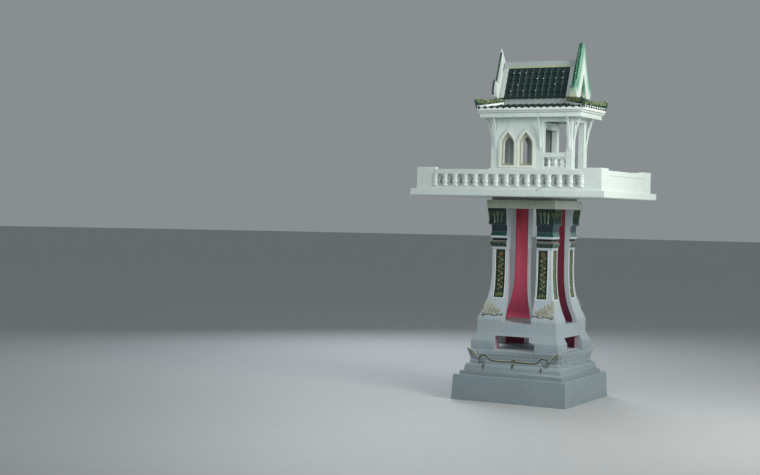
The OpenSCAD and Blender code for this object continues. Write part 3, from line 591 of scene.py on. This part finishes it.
def upper_tiles():
    """Tile fields of the two steep slopes: troughs and barrels in stepped courses, with dabs of painted
    highlight on the noses.
    """
    slope = hypot(UPPER_HALF, RIDGE - UPPER_FOOT)
    reach = slope * (FIELD_TOP - UPPER_FOOT) / (RIDGE - UPPER_FOOT)
    course = reach / ROWS
    pitch = (FIELD_FRONT - FIELD_BACK) / COLUMNS
    pan = part_of(pan_tile(pitch - 1, course + 5, 4.5, 3.0))
    barrel = part_of(barrel_tile(course + 3, 8.2, 6.4))
    for side, hand in (("right", -1), ("left", 1)):
        greens, dim, bright = bmesh.new(), bmesh.new(), bmesh.new()
        up = Vector((0, -hand * UPPER_HALF, RIDGE - UPPER_FOOT))
        start = Vector((FIELD_BACK if hand < 0 else FIELD_FRONT, hand * UPPER_HALF, UPPER_FOOT))
        field = facing_place(start, X * -hand, up)
        for row in range(ROWS):
            for column in range(COLUMNS):
                jog = chance.uniform(-TILE_JOG, TILE_JOG)
                tilt = Matrix.Rotation(radians(chance.uniform(-TILE_TILT, TILE_TILT)), 4, "Z")
                trough = moved((column + 0.5) * pitch, row * course, 0.4 + 0.3 * jog)
                lay(greens, pan, field @ trough)
                if column:
                    nose = field @ moved(column * pitch, row * course + jog, 3)
                    lay(greens, barrel, nose @ tilt)
                    # Each nose above the first course gets a dab of painted highlight, dim or bright
                    dabs, size = (bright, BRIGHT_DAB) if chance.random() < BRIGHT_SHARE else (dim, DIM_DAB)
                    if row:
                        on_nose = moved(chance.uniform(-1, 1), 3.2, 7.6)
                        bead(dabs, size, nose @ on_nose, 8, 4)
        bmesh.ops.recalc_face_normals(greens, faces=greens.faces)
        for column in range(COLUMNS):
            lay(greens, lip_part(14, 5), field @ moved((column + 0.5) * pitch, -1.5, 9))
        trim(greens, (0, 0, FIELD_TOP + 0.5), (0, 0, 1))
        finish_piece("upper_tiles_" + side, greens, roof_green)
        finish_piece("upper_tile_highlight_dabs_" + side, dim, rib_paint, smooth=60)
        finish_piece("upper_tile_bright_highlight_dabs_" + side, bright, glint_paint, smooth=60)

        borders = bmesh.new()
        for low, high in ((UPPER_BACK, FIELD_BACK), (FIELD_FRONT, UPPER_FRONT)):
            corner = Vector((low if hand < 0 else high, hand * UPPER_HALF, UPPER_FOOT))
            strip = bmesh.new()
            block(strip, (0.3, 0.5, -2), (high - low, reach + 3, 9.5), 2.0)
            lay(borders, part_of(strip), facing_place(corner, X * -hand, up))
        finish_piece("verge_borders_" + side, borders, cap_paint)


def lip_part(radius, thick):
    """The round-bottomed end of a trough: a small disc that faces down the slope."""
    shape = bmesh.new()
    made = bmesh.ops.create_cone(
        shape, cap_ends=True, segments=16, radius1=radius, radius2=radius, depth=thick)["verts"]
    bmesh.ops.rotate(shape, cent=(0, 0, 0), matrix=Matrix.Rotation(-pi / 2, 3, "X"), verts=made)
    rim = [e for e in shape.edges if len({round(v.co.y, 2) for v in e.verts}) == 1]
    bmesh.ops.bevel(shape, geom=rim, offset=thick * 0.3, segments=1, profile=0.5, affect="EDGES", material=-1)
    return part_of(shape)


# Courses of the skirt, and about how far apart its barrels are
SKIRT_COURSES, SKIRT_PITCH = 3, 42
# White scallops along the eave: their radius, and their tops and cut feet from the eave plane
SCALLOP, SCALLOP_TOP, SCALLOP_FOOT = 28, 5, -13
# How far the skirt runs from eave to neck on each side, and the lengths of its eaves
BACK_RUN, FRONT_RUN, SIDE_RUN = NECK_BACK - EAVE_BACK, EAVE_FRONT - NECK_FRONT, EAVE_HALF - NECK_HALF
EAVE_LONG, EAVE_WIDE = EAVE_FRONT - EAVE_BACK, 2 * EAVE_HALF

# Each skirt slope: its name, left corner at the eave, direction along the eave, direction up, its run from
# eave to neck, the runs of its left and right hips along the eave, and its length along the eave
SKIRT_SIDES = (
    ("right", (EAVE_BACK, -EAVE_HALF), X, Y, SIDE_RUN, BACK_RUN, FRONT_RUN, EAVE_LONG),
    ("left", (EAVE_FRONT, EAVE_HALF), -X, -Y, SIDE_RUN, FRONT_RUN, BACK_RUN, EAVE_LONG),
    ("back", (EAVE_BACK, EAVE_HALF), -Y, X, BACK_RUN, SIDE_RUN, SIDE_RUN, EAVE_WIDE),
    ("front", (EAVE_FRONT, -EAVE_HALF), Y, -X, FRONT_RUN, SIDE_RUN, SIDE_RUN, EAVE_WIDE))


def skirt_tiles():
    """Low tile fields round the eaves, each cut off at its two hips, with white scallops along the eave."""
    for side, corner, along, inward, run, left_run, right_run, wide in SKIRT_SIDES:
        rise = NECK_Z - EAVE_Z
        slope = hypot(run, rise)
        columns = round(wide / SKIRT_PITCH)
        pitch = wide / columns
        course = slope / SKIRT_COURSES
        place = facing_place((corner[0], corner[1], EAVE_Z), along, inward * run + Z * rise)
        pan = part_of(pan_tile(pitch - 1, course + 4, 2.2, 2.2))
        barrel = part_of(barrel_tile(course + 3, 10.0, 7.6))
        greens = bmesh.new()
        for row in range(SKIRT_COURSES):
            for column in range(columns):
                lay(greens, pan, moved((column + 0.5) * pitch, row * course, 0.2))
                if column:
                    jog = chance.uniform(-0.6, 0.6)
                    lay(greens, barrel, moved(column * pitch, row * course + jog, -1.5))
        bmesh.ops.recalc_face_normals(greens, faces=greens.faces)
        for column in range(columns):
            lay(greens, lip_part(9, 4), moved((column + 0.5) * pitch, -1.5, 7))
        inset = 6
        trim(greens, (inset, 0, 0), (-slope, left_run, 0))
        trim(greens, (wide - inset, 0, 0), (slope, right_run, 0))
        trim(greens, (0, slope - 1, 0), (0, 1, 0))
        bmesh.ops.transform(greens, matrix=place, verts=greens.verts)
        finish_piece("skirt_tiles_" + side, greens, roof_green)

        ends = bmesh.new()
        for column in range(1, columns):
            out = 3.4 if column % 2 else 3.0
            lay(ends, lip_part(SCALLOP, 6), moved(column * pitch, -out, SCALLOP_TOP - SCALLOP))
        trim(ends, (0, 0, SCALLOP_FOOT), (0, 0, -1))
        bmesh.ops.transform(ends, matrix=place, verts=ends.verts)
        finish_piece("eave_scallops_" + side, ends, bright_white)


def trim(shape, point, outward):
    """Cuts off what lies outside a plane and closes the cut."""
    whole = shape.verts[:] + shape.edges[:] + shape.faces[:]
    cut = bmesh.ops.bisect_plane(shape, geom=whole, dist=0.001, plane_co=Vector(point),
                                 plane_no=Vector(outward).normalized(), clear_outer=True)
    rim = [part for part in cut["geom_cut"] if isinstance(part, bmesh.types.BMEdge)]
    bmesh.ops.holes_fill(shape, edges=rim, sides=0)


# Which way each hip runs from the middle along x and y
HIPS = ((-1, -1), (-1, 1), (1, -1), (1, 1))
# Footing strips: half width and height; and how far apart the flecks are
HIP_STRIP_HALF, HIP_STRIP_TOP, FLECK_PITCH = 10.5, 17, 8
# Height of a hip bar's back over the skirt, by the share of the way down the hip
HIP_BACK = ((0, 38), (0.2, 43), (0.34, 47), (0.55, 47), (0.74, 49), (0.86, 54), (0.95, 62), (1.02, 70))


def hip_height(share):
    """How high the hip bar's back stands over the skirt, at a share of the way down the hip."""
    for (a, low), (b, high) in zip(HIP_BACK, HIP_BACK[1:]):
        if share <= b:
            return low + (high - low) * (share - a) / (b - a)
    return HIP_BACK[-1][1]


def hip_dressing():
    """White footing strips along the hip bars, and serpent scales with pale flecks on both sides of them."""
    strips, scales, flecks = bmesh.new(), bmesh.new(), bmesh.new()
    for sx, sy in HIPS:
        top = Vector((NECK_FRONT if sx > 0 else NECK_BACK, sy * NECK_HALF, NECK_Z))
        foot = Vector((EAVE_FRONT if sx > 0 else EAVE_BACK, sy * EAVE_HALF, EAVE_Z))
        long = (foot - top).length
        strip = bmesh.new()
        block(strip, (2, -3, -HIP_STRIP_HALF), (long * 0.985, HIP_STRIP_TOP, HIP_STRIP_HALF), 2.0)
        lay(strips, part_of(strip), facing_place(top, foot - top, Z))
        flat_long = (foot - top).xy.length
        flat_place = facing_place(top, Vector(((foot - top).x, (foot - top).y, 0)), Z)
        drop = NECK_Z - EAVE_Z
        count = round(flat_long / FLECK_PITCH)
        for i in range(count):
            share = 0.06 + 0.94 * i / (count - 1)
            back = hip_height(share) - drop * min(share, 1)
            for face in (-1, 1):
                if i % 2 == 0:
                    spot = moved(flat_long * share, back - 8.5, face * 7.6)
                    bead(scales, (8.5, 7, 2.6), flat_place @ spot, 8, 4)
                for low in (5, 13, 21):
                    along = flat_long * share + chance.uniform(-3, 3)
                    spot = moved(along, back - low + chance.uniform(-2, 2), face * 9.2)
                    size = chance.uniform(2.2, 4.4)
                    bead(flecks, (size, size * 0.8, 2.0), flat_place @ spot, 6, 4)
    finish_piece("hip_footings", strips, house_white)
    finish_piece("hip_scales", scales, leaf_green, smooth=60)
    finish_piece("hip_scale_flecks", flecks, pale_green, smooth=60)


# About how far apart the bargeboards' scales and flecks are
SCALE_PITCH = 17


def board_scales():
    """Scales with pale tips down the raked edges of the front bargeboard, and flecks on the back one."""
    rake_long = hypot(BOARD_NOTCH_Y, BOARD_APEX - BOARD_NOTCH_Z)
    for hand in (-1, 1):
        side = "left" if hand > 0 else "right"
        scales, marks = bmesh.new(), bmesh.new()
        rake = Vector((0, hand * BOARD_NOTCH_Y, BOARD_NOTCH_Z - BOARD_APEX))
        place = facing_place((0, 0, BOARD_APEX), -X * hand, -rake)
        count = round(rake_long / SCALE_PITCH)
        for i in range(2, count):
            for x, shift in ((278, 0), (296, 0.5)):
                spot = (-x * hand, -rake_long * (i + shift) / count, 0.4)
                tip = Matrix.Rotation(radians(8), 4, "X")
                bead(scales, (9, 10, 3), place @ moved(*spot) @ tip, 10, 4)
                mark = moved(spot[0] + chance.uniform(-2, 2), spot[1] - 5, 2.6)
                wide = chance.uniform(3.6, 6.0)
                bead(marks, (wide, wide * 0.8, 2.4), place @ mark, 8, 4)
        finish_piece("board_scales_" + side, scales, front_board_paint, smooth=60)
        finish_piece("board_scale_tips_" + side, marks, tip_paint, smooth=60)
    flecks = bmesh.new()
    for hand in (-1, 1):
        rake = Vector((0, hand * BACK_NOTCH_Y, BACK_NOTCH_Z - BACK_APEX))
        place = facing_place((0, 0, BACK_APEX), -X * hand, -rake)
        count = round(rake.length / SCALE_PITCH)
        for i in range(3, count):
            mark = moved(251.5 * hand, -rake.length * i / count, 0.3)
            bead(flecks, (3.4, 4.4, 1.4), place @ mark, 8, 4)
    finish_piece("board_flecks_back", flecks, rib_paint, smooth=60)


def gable_ornament():
    """Raised scrolls and a flower on the gable panels between the bargeboards."""
    lines = [leaf(0, 1990, 62, 90, 0, 5), leaf(0, 1952, 40, 62, -50, 4), leaf(0, 1952, 40, 118, 50, 4)]
    for hand in (-1, 1):
        lines.append(curl(hand * 24, 1926, 15, 90 - hand * 90, -hand))
        lines.append(leaf(hand * 38, 1916, 26, 90 - hand * 60, hand * 40, 3))
        lines.append(curl(hand * 12, 1980, 8, 90, hand, 1.1, 1.8))
    lines += [leaf(0, 1948, 13, angle, 0, 3.2) for angle in range(0, 360, 60)]
    part = strokes_of(lines)
    scrolls = bmesh.new()
    lay(scrolls, part, facing_place((UPPER_FRONT + 1, 0, 0), Y, Z))
    lay(scrolls, part, facing_place((UPPER_BACK - 1, 0, 0), -Y, Z))
    finish_piece("gable_scrolls", scrolls, gold_paint)


# Pedestal ornament

# Flame leaves on the flare of a leg: foot, tip and half width, from the outer corner inwards
FLAMES = (((212, 536), (215, 630), 17), ((198, 536), (191, 616), 15), ((182, 537), (170, 602), 14),
          ((165, 538), (150, 590), 13), ((147, 539), (131, 579), 11), ((130, 540), (114, 569), 9))
# Lotus petals of a capital: distance from the middle and half width
PETALS = ((113, 12), (134, 12), (156, 13), (178, 12), (197, 10))
# Level of the petals' middle, and their half height
PETAL_Z, PETAL_TALL = 1148, 44


def flare(z):
    """Half width of the pedestal at the legs' outer faces."""
    share = max(0.0, (LEG_Z + 0.8 * LEG_H - (z - 26)) / (0.8 * LEG_H))
    return min(SHAFT_HALF + LEG_FLARE, SHAFT_HALF + LEG_FLARE * share ** 3)


def lion_half(z):
    """Half width of the lion-foot course at a height."""
    share = min(1.0, max(0.0, (z - 265) / 42))
    return 294 + 12 * share ** 1.6 - 4 * sin(radians(max(0, min(180, (z - 241) * 7.5))))


def step_half(z):
    """Half width of the lion-foot course and, below it, of the rounded steps that carry it."""
    if z >= 230:
        return lion_half(z)
    if z >= 214:
        return 294 + 20 * sqrt(1 - ((z - 214) / 16) ** 2)
    if z >= 200:
        return 318 - (z - 200) / 7
    drop = 1 - (z - 180) / 20
    return 336 - 18 * sqrt(1 - drop * drop)


def on_faces(shape, part, surface, sides, mirrored=True):
    """Lays a flat ornament, drawn as x from the middle and y as height, on outer faces that follow a surface.

    sides are the faces by their outward direction; the ornament is mirrored to the other half of the face."""
    for outward in sides:
        outward = Vector(outward)
        across = Z.cross(outward)
        for hand in ((1, -1) if mirrored else (1,)):
            before = len(shape.verts)
            shape.from_mesh(part)
            shape.verts.ensure_lookup_table()
            added = shape.verts[before:]
            for v in added:
                x, z, relief = v.co
                v.co = across * (hand * x) + Z * z + outward * (surface(z) + relief)
            if hand < 0:
                mine = set(added)
                bmesh.ops.reverse_faces(shape, faces=[f for f in shape.faces if f.verts[0] in mine])


def face_strokes(name, lines, paint, surface, sides, flat=0.55, smooth=35, middle=None):
    """A piece of strokes on outer faces. Those in middle are not mirrored."""
    relief = bmesh.new()
    on_faces(relief, strokes_of(lines, flat), surface, sides)
    if middle:
        on_faces(relief, strokes_of(middle, flat), surface, sides, mirrored=False)
    finish_piece(name, relief, paint, smooth)


ALL_SIDES = ((0, -1, 0), (0, 1, 0), (1, 0, 0), (-1, 0, 0))
LONG_SIDES = ((0, -1, 0), (0, 1, 0))
END_SIDES = ((1, 0, 0), (-1, 0, 0))


def panel_scrolls():
    """Gold scrollwork on the leg inlays: a stem with curls, an ochre flower on top and buds at the foot."""
    mid = (PANEL_IN + PANEL_OUT) / 2
    low, high = PANEL_LOW + 44, PANEL_HIGH - 38
    stems, dabs = [wave(mid, low, high - low, 8, 2.5, 1.9)], []
    turns = 5
    for i in range(turns):
        z = low + (high - low) * (i + 0.5) / turns
        hand = 1 if i % 2 else -1
        stems.append(curl(mid + hand * 8, z, 14, 90 + hand * 90, -hand, 1.3, 2.8))
        stems.append(leaf(mid - hand * 3, z + 6, 26, 90 + hand * 58, -hand * 45, 4.2))
        stems.append(leaf(mid - hand * 3, z - 12, 22, 90 + hand * 100, hand * 50, 3.6))
        dabs.append(leaf(mid + hand * 12, z - 9, 15, 90 + hand * 25, hand * 30, 3.2, 4))
        dabs.append(leaf(mid - hand * 17, z + 12, 12, 90 - hand * 20, -hand * 30, 2.6, 4))
    flower = rosette(mid, PANEL_HIGH - 22, range(15, 375, 60), 15, 5.0)
    buds = [leaf(mid + x, PANEL_LOW + 8, long, 90 + lean, -lean, 5.4)
            for x, long, lean in ((-19, 17, 34), (-9, 23, 22), (4, 25, -20), (17, 19, -34))]
    buds += rosette(mid, PANEL_LOW + 24, range(0, 360, 72), 12, 3.6)
    for name, lines, paint in (("panel_scrolls", stems, gold_paint), ("panel_dabs", dabs, dab_paint),
                               ("panel_flowers", flower, flower_paint), ("panel_buds", buds, bud_paint)):
        face_strokes(name, lines, paint, lambda z: flare(z) - 3.2, ALL_SIDES)
    near, far, foot = PANEL_IN - 6, PANEL_OUT + 6, PANEL_LOW - 6
    up = [foot + (CAPITAL_Z - 1 - foot) * i / 12 for i in range(13)]
    border = [(near, z, 2.2) for z in reversed(up)]
    border += [(far + 3 * (1 - i / 12), z, 2.2) for i, z in enumerate(up)]
    face_strokes("panel_borders", [border], bright_white, lambda z: flare(z) + 0.1,
                 ALL_SIDES, 0.4)


def flame(foot, tip, half):
    """A broad flame leaf from its foot to its tip."""
    bend = 22
    run, rise = tip[0] - foot[0], tip[1] - foot[1]
    angle = degrees(atan2(rise, run))
    return leaf(foot[0], foot[1], hypot(run, rise) * 1.01, angle - bend / 2, bend, half, 9)


def flare_flames():
    """Pale gold flame leaves with dark veins on the flare of the legs, over a dark line with curled ends."""
    unders, leaves, veins = [], [], []
    for foot, tip, half in FLAMES:
        unders.append(flame((foot[0] + 2, foot[1] - 3), (tip[0] + 1, tip[1] + 4), half + 2.2))
        leaves.append(flame((foot[0] - 3, foot[1] + 6), (tip[0], tip[1] - 6), half * 0.5))
        for lean in (-0.5, 0.4):
            start = (foot[0] + half * lean, foot[1] + 8)
            x, z = (low + (high - low) * 0.72 for low, high in zip(foot, tip))
            veins.append(flame(start, (x + half * lean * 0.5, z), 2.1))
    base = [(x, 531 + 3.5 * sin((x - 104) / 11), 2.6) for x in range(104, 233, 6)]
    curls = [base, curl(228, 534, 12, 250, 1, 1.1, 3.0), curl(106, 538, 9, 290, -1, 1.1, 2.6)]
    curls += [curl(x, 538, 9, 270, 1, 1.1, 2.2) for x in (134, 166, 198)]
    for name, lines, paint, relief, flat in (
            ("flame_shadows", unders, shadow_paint, 0.0, 0.16),
            ("flare_flames", leaves, flame_paint, 0.4, 0.2),
            ("flame_veins", veins, vein_paint, 1.2, 0.6),
            ("flame_curls", curls, olive_paint, 0.6, 0.5)):
        face_strokes(name, lines, paint, lambda z: flare(z) + relief, LONG_SIDES, flat)


def shifted(line, rise, half):
    """The same stroke a little higher and of another width."""
    return [(x, z + rise, half) for x, z, _ in line]


def lion_foot_lines():
    """The lion feet's curling outline and centre drop in dark olive, with pale strokes of painted highlight
    above it on the long sides.
    """
    wide = 4.2
    bar = [(x, z, wide) for x, z in (
        (0, 248), (60, 247), (118, 247), (146, 248), (158, 252), (165, 262), (174, 273), (188, 281),
        (204, 282), (218, 275), (228, 262), (231, 247), (226, 234), (217, 227))]
    hook = [(214, 258, 2.4), (217, 248, 3.0), (212, 238, 3.4), (202, 235, 3.4), (195, 242, 3.0),
            (197, 252, 2.4)]
    ears = [
        [(303, 318, 3.4), (286, 308, 3.6), (268, 296, 3.4), (254, 281, 3.0), (244, 265, 2.6),
         (240, 251, 2.2)],
        [(299, 303, 2.6), (284, 294, 2.8), (270, 282, 2.6), (260, 268, 2.2), (256, 254, 1.8)],
        [(297, 290, 2.0), (286, 281, 2.0), (276, 270, 1.6), (271, 258, 1.5)]]
    side_drop = [(190, 225, 8.0), (193, 216, 7.4), (192, 206, 5.4), (188, 195, 2.4)]
    outline = [side_drop, bar, hook] + ears
    # The lights are painted highlights along the top of the bar, the ears and the curl
    lights = [shifted(bar[:10], 6.2, 2.0), shifted(ears[0], 6.0, 2.8), shifted(ears[1], 5.0, 2.0),
              [(198, 264, 2.0), (208, 266, 2.2), (217, 260, 2.0), (221, 249, 1.8)]]
    centre_drop = [
        [(0, 236, 8.0), (1, 227, 9.4), (3, 216, 6.6), (2, 206, 2.4)],
        [(-13, 253, 3.4), (0, 261, 5.2), (13, 253, 3.4)]]
    for name, lines, middle, paint, slot, sides in (
            ("lion_foot_lines", outline, centre_drop, olive_paint, "green_gold", LONG_SIDES),
            ("lion_foot_lines_ends", outline, centre_drop, stand_white, "white_paint", END_SIDES),
            ("lion_foot_painted_highlights", lights, [], dab_paint, "green_gold", LONG_SIDES)):
        face_strokes(name, lines, paint, lambda z: step_half(z) + 0.4, sides, middle=middle)


def capital_face(z):
    """Half width of the capitals in their lotus zone."""
    share = min(1.0, max(0.0, (z - 1098) / 88))
    return SHAFT_HALF + 18 + 4 * (1 - share) ** 3 + 9 * share ** 3


def capital_petals():
    """Flat rounded lotus petals round the capitals, with pale ribs, a painted highlight on one rib's lower
    tip, fronds, and ticks on the band below.
    """
    petals, petal = bmesh.new(), bmesh.new()
    for x, half in PETALS:
        bead(petal, (half, PETAL_TALL, 3.2), moved(x, PETAL_Z, 0), 12, 8)
    on_faces(petals, part_of(petal), capital_face, ALL_SIDES)
    finish_piece("capital_petals", petals, leaf_green, smooth=60)
    # The rib tips are a painted highlight on the lower end of the outermost rib
    for name, span, half, paint, feet in (
            ("capital_ribs", (1176, 1108), 2.6, rib_paint, ((134, -1), (157, 0), (178, 1))),
            ("capital_rib_tips", (1150, 1106), 3.0, glint_paint, ((178, 1),))):
        lines = [[(x + (z - 1106) * 0.04 * lean, z, half) for z in span] for x, lean in feet]
        face_strokes(name, lines, paint, lambda z: capital_face(z) + 2.4, LONG_SIDES, 0.9, 60)
    lines = [leaf(x, foot, 34, 90 + lean, lean, 4.2, 5) for x, foot, lean in (
        (124, 1148, 14), (145, 1152, -12), (168, 1150, 10), (190, 1146, 14), (204, 1150, -10),
        (213, 1140, -4))]
    face_strokes("capital_fronds", lines, frond_paint, lambda z: capital_face(z) + 2.6,
                 ALL_SIDES, 0.5, 60)
    lines = [[(x, 961, 1.8), (x, 979, 1.4)] for x in (118, 150, 181)]
    face_strokes("capital_band_ticks", lines, gold_paint,
                 lambda z: 207 + 2.5 * sin(pi * (z - 957) / 28), ALL_SIDES, 0.6)


# Terrace

# Radius and height of each point of a turned baluster, from its foot up
BALUSTER = (
    (0, 0), (17, 0), (17.5, 4), (14, 9), (12, 13), (16, 21), (19, 30), (17, 38), (12.5, 44), (12, 48),
    (16, 51), (16, 54), (12.5, 58), (15, 64), (18, 69), (18, 73), (0, 73))


def parapet_dressing():
    """Half-round turned balusters between the sunk bays, and a painted scroll in each bay."""
    baluster = turned(BALUSTER, 14)
    hook = strokes_of([
        curl(0, 44, 10, 200, 1, 1.2, 2.0, 12), curl(-2, 24, 8, 20, -1, 1.1, 1.8, 12),
        leaf(6, 12, 30, 100, 30, 2.4), leaf(-10, 56, 14, 20, -60, 2.0)])
    flat = Matrix.Diagonal((1, 0.42, 1, 1))
    runs = (
        ("right", Vector((0, -PARAPET_Y, 0)), X, -Y, PARAPET_X),
        ("left", Vector((0, PARAPET_Y, 0)), -X, Y, PARAPET_X),
        ("back", Vector((-PARAPET_X, 0, 0)), -Y, -X, PARAPET_Y))
    for name, middle, along, outward, half in runs:
        count = int(2 * (half - CORNER) / BAY_PITCH + 0.05)
        posts, scrolls = bmesh.new(), bmesh.new()
        for i in range(count + 1):
            x = (i - count / 2) * BAY_PITCH
            foot = middle + along * x - outward * 1.5 + Z * (FLOOR_TOP + BAY_LOW)
            turn = facing_place(foot, along, -outward)
            lay(posts, baluster, turn @ flat)
            if i < count:
                bay = middle + along * (x + BAY_PITCH / 2) - outward * (BAY_DEEP - 0.5)
                bay += Z * (FLOOR_TOP + BAY_LOW)
                sway = Matrix.Rotation(radians(chance.uniform(-5, 5)), 4, "Z")
                lay(scrolls, hook, facing_place(bay, along, Z) @ sway)
        finish_piece("parapet_balusters_" + name, posts, house_white, smooth=50)
        finish_piece("bay_scrolls_" + name, scrolls, olive_paint)


def terrace_crack():
    """The hairline crack that runs up the right side of the terrace, from its edge into the parapet."""
    crack = bmesh.new()
    edge = [(203, 1302, 0.8), (208, 1305, 1.4), (216, 1310.5, 1.3)]
    wall = [(200, 1311, 1.2), (211, 1315, 1.4), (222, 1318, 1.1), (232, 1323, 1.4), (246, 1327, 1.0),
            (262, 1335, 0.7)]
    lay(crack, strokes_of([edge], 0.4), facing_place((0, -TERRACE_Y, 0), X, Z))
    lay(crack, strokes_of([wall], 0.4), facing_place((0, -PARAPET_Y, 0), X, Z))
    finish_piece("terrace_crack", crack, crack_dirt)


# Smooth castings

def smooth_casting(node, paint):
    """A merged copy of a casting with smooth curves, which stands for the faceted one."""
    shape = bmesh.new()
    shape.from_mesh(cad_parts[node].data)
    bmesh.ops.remove_doubles(shape, verts=shape.verts, dist=0.02 * MM)
    bmesh.ops.dissolve_limit(shape, angle_limit=radians(0.4), verts=shape.verts, edges=shape.edges)
    bmesh.ops.scale(shape, vec=(1 / MM, 1 / MM, 1 / MM), verts=shape.verts)
    piece = finish_piece(node + "_cast", shape, paint, smooth=32)
    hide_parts(node)


CORNERS = ("front_right", "front_left", "back_right", "back_left")


def paint_castings():
    """Gives each casting its finish. Curved castings get smooth copies."""
    for corner in CORNERS:
        smooth_casting("leg_" + corner, leg_paint)
        smooth_casting("capital_" + corner, capital_paint)
        smooth_casting("foot_" + corner, foot_paint)
    smooth_casting("base_steps", stand_white)
    smooth_casting("lion_foot_course", lion_paint)
    smooth_casting("pedestal_deck", deck_paint)
    smooth_casting("top_slab", mortar)
    smooth_casting("porch_balustrades", house_white)
    smooth_casting("window_frames", frame_paint)
    smooth_casting("hip_ridges", hip_paint)
    kept = {
        stand_white: ("plinth",),
        mortar: ("bearing_pad",),
        panel_paint: ("leg_panels",),
        house_white: ("terrace_floor", "corner_blocks", "porch_posts", "eave_brackets", "gable_panels"),
        parapet_paint: ("parapet_front", "parapet_back", "parapet_right", "parapet_left"),
        wall_paint: (
            "wall_right", "wall_left", "wall_back", "wall_door", "wall_beam", "cornice", "house_base"),
        neck_paint: ("roof_neck",),
        roof_green: ("skirt_roof", "roof_slope_right", "roof_slope_left"),
        cap_paint: ("ridge_cap",),
        front_board_paint: ("bargeboard_front",),
        back_board_paint: ("bargeboard_back",),
    }
    for paint, nodes in kept.items():
        for node in nodes:
            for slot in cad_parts[node].material_slots:
                slot.material = paint


def lay_floor():
    """The studio's floor, which is not part of the object."""
    floor = bmesh.new()
    bmesh.ops.create_circle(floor, cap_ends=True, segments=64, radius=60)
    mesh = bpy.data.meshes.new("studio_floor")
    floor.to_mesh(mesh)
    floor.free()
    mesh.materials.append(floor_paint)
    ground = bpy.data.objects.new("studio_floor", mesh)
    bpy.context.scene.collection.objects.link(ground)


stand_camera()
light_studio()
lay_floor()
paint_castings()
upper_tiles()
skirt_tiles()
hip_dressing()
board_scales()
gable_ornament()
panel_scrolls()
flare_flames()
lion_foot_lines()
capital_petals()
parapet_dressing()
terrace_crack()
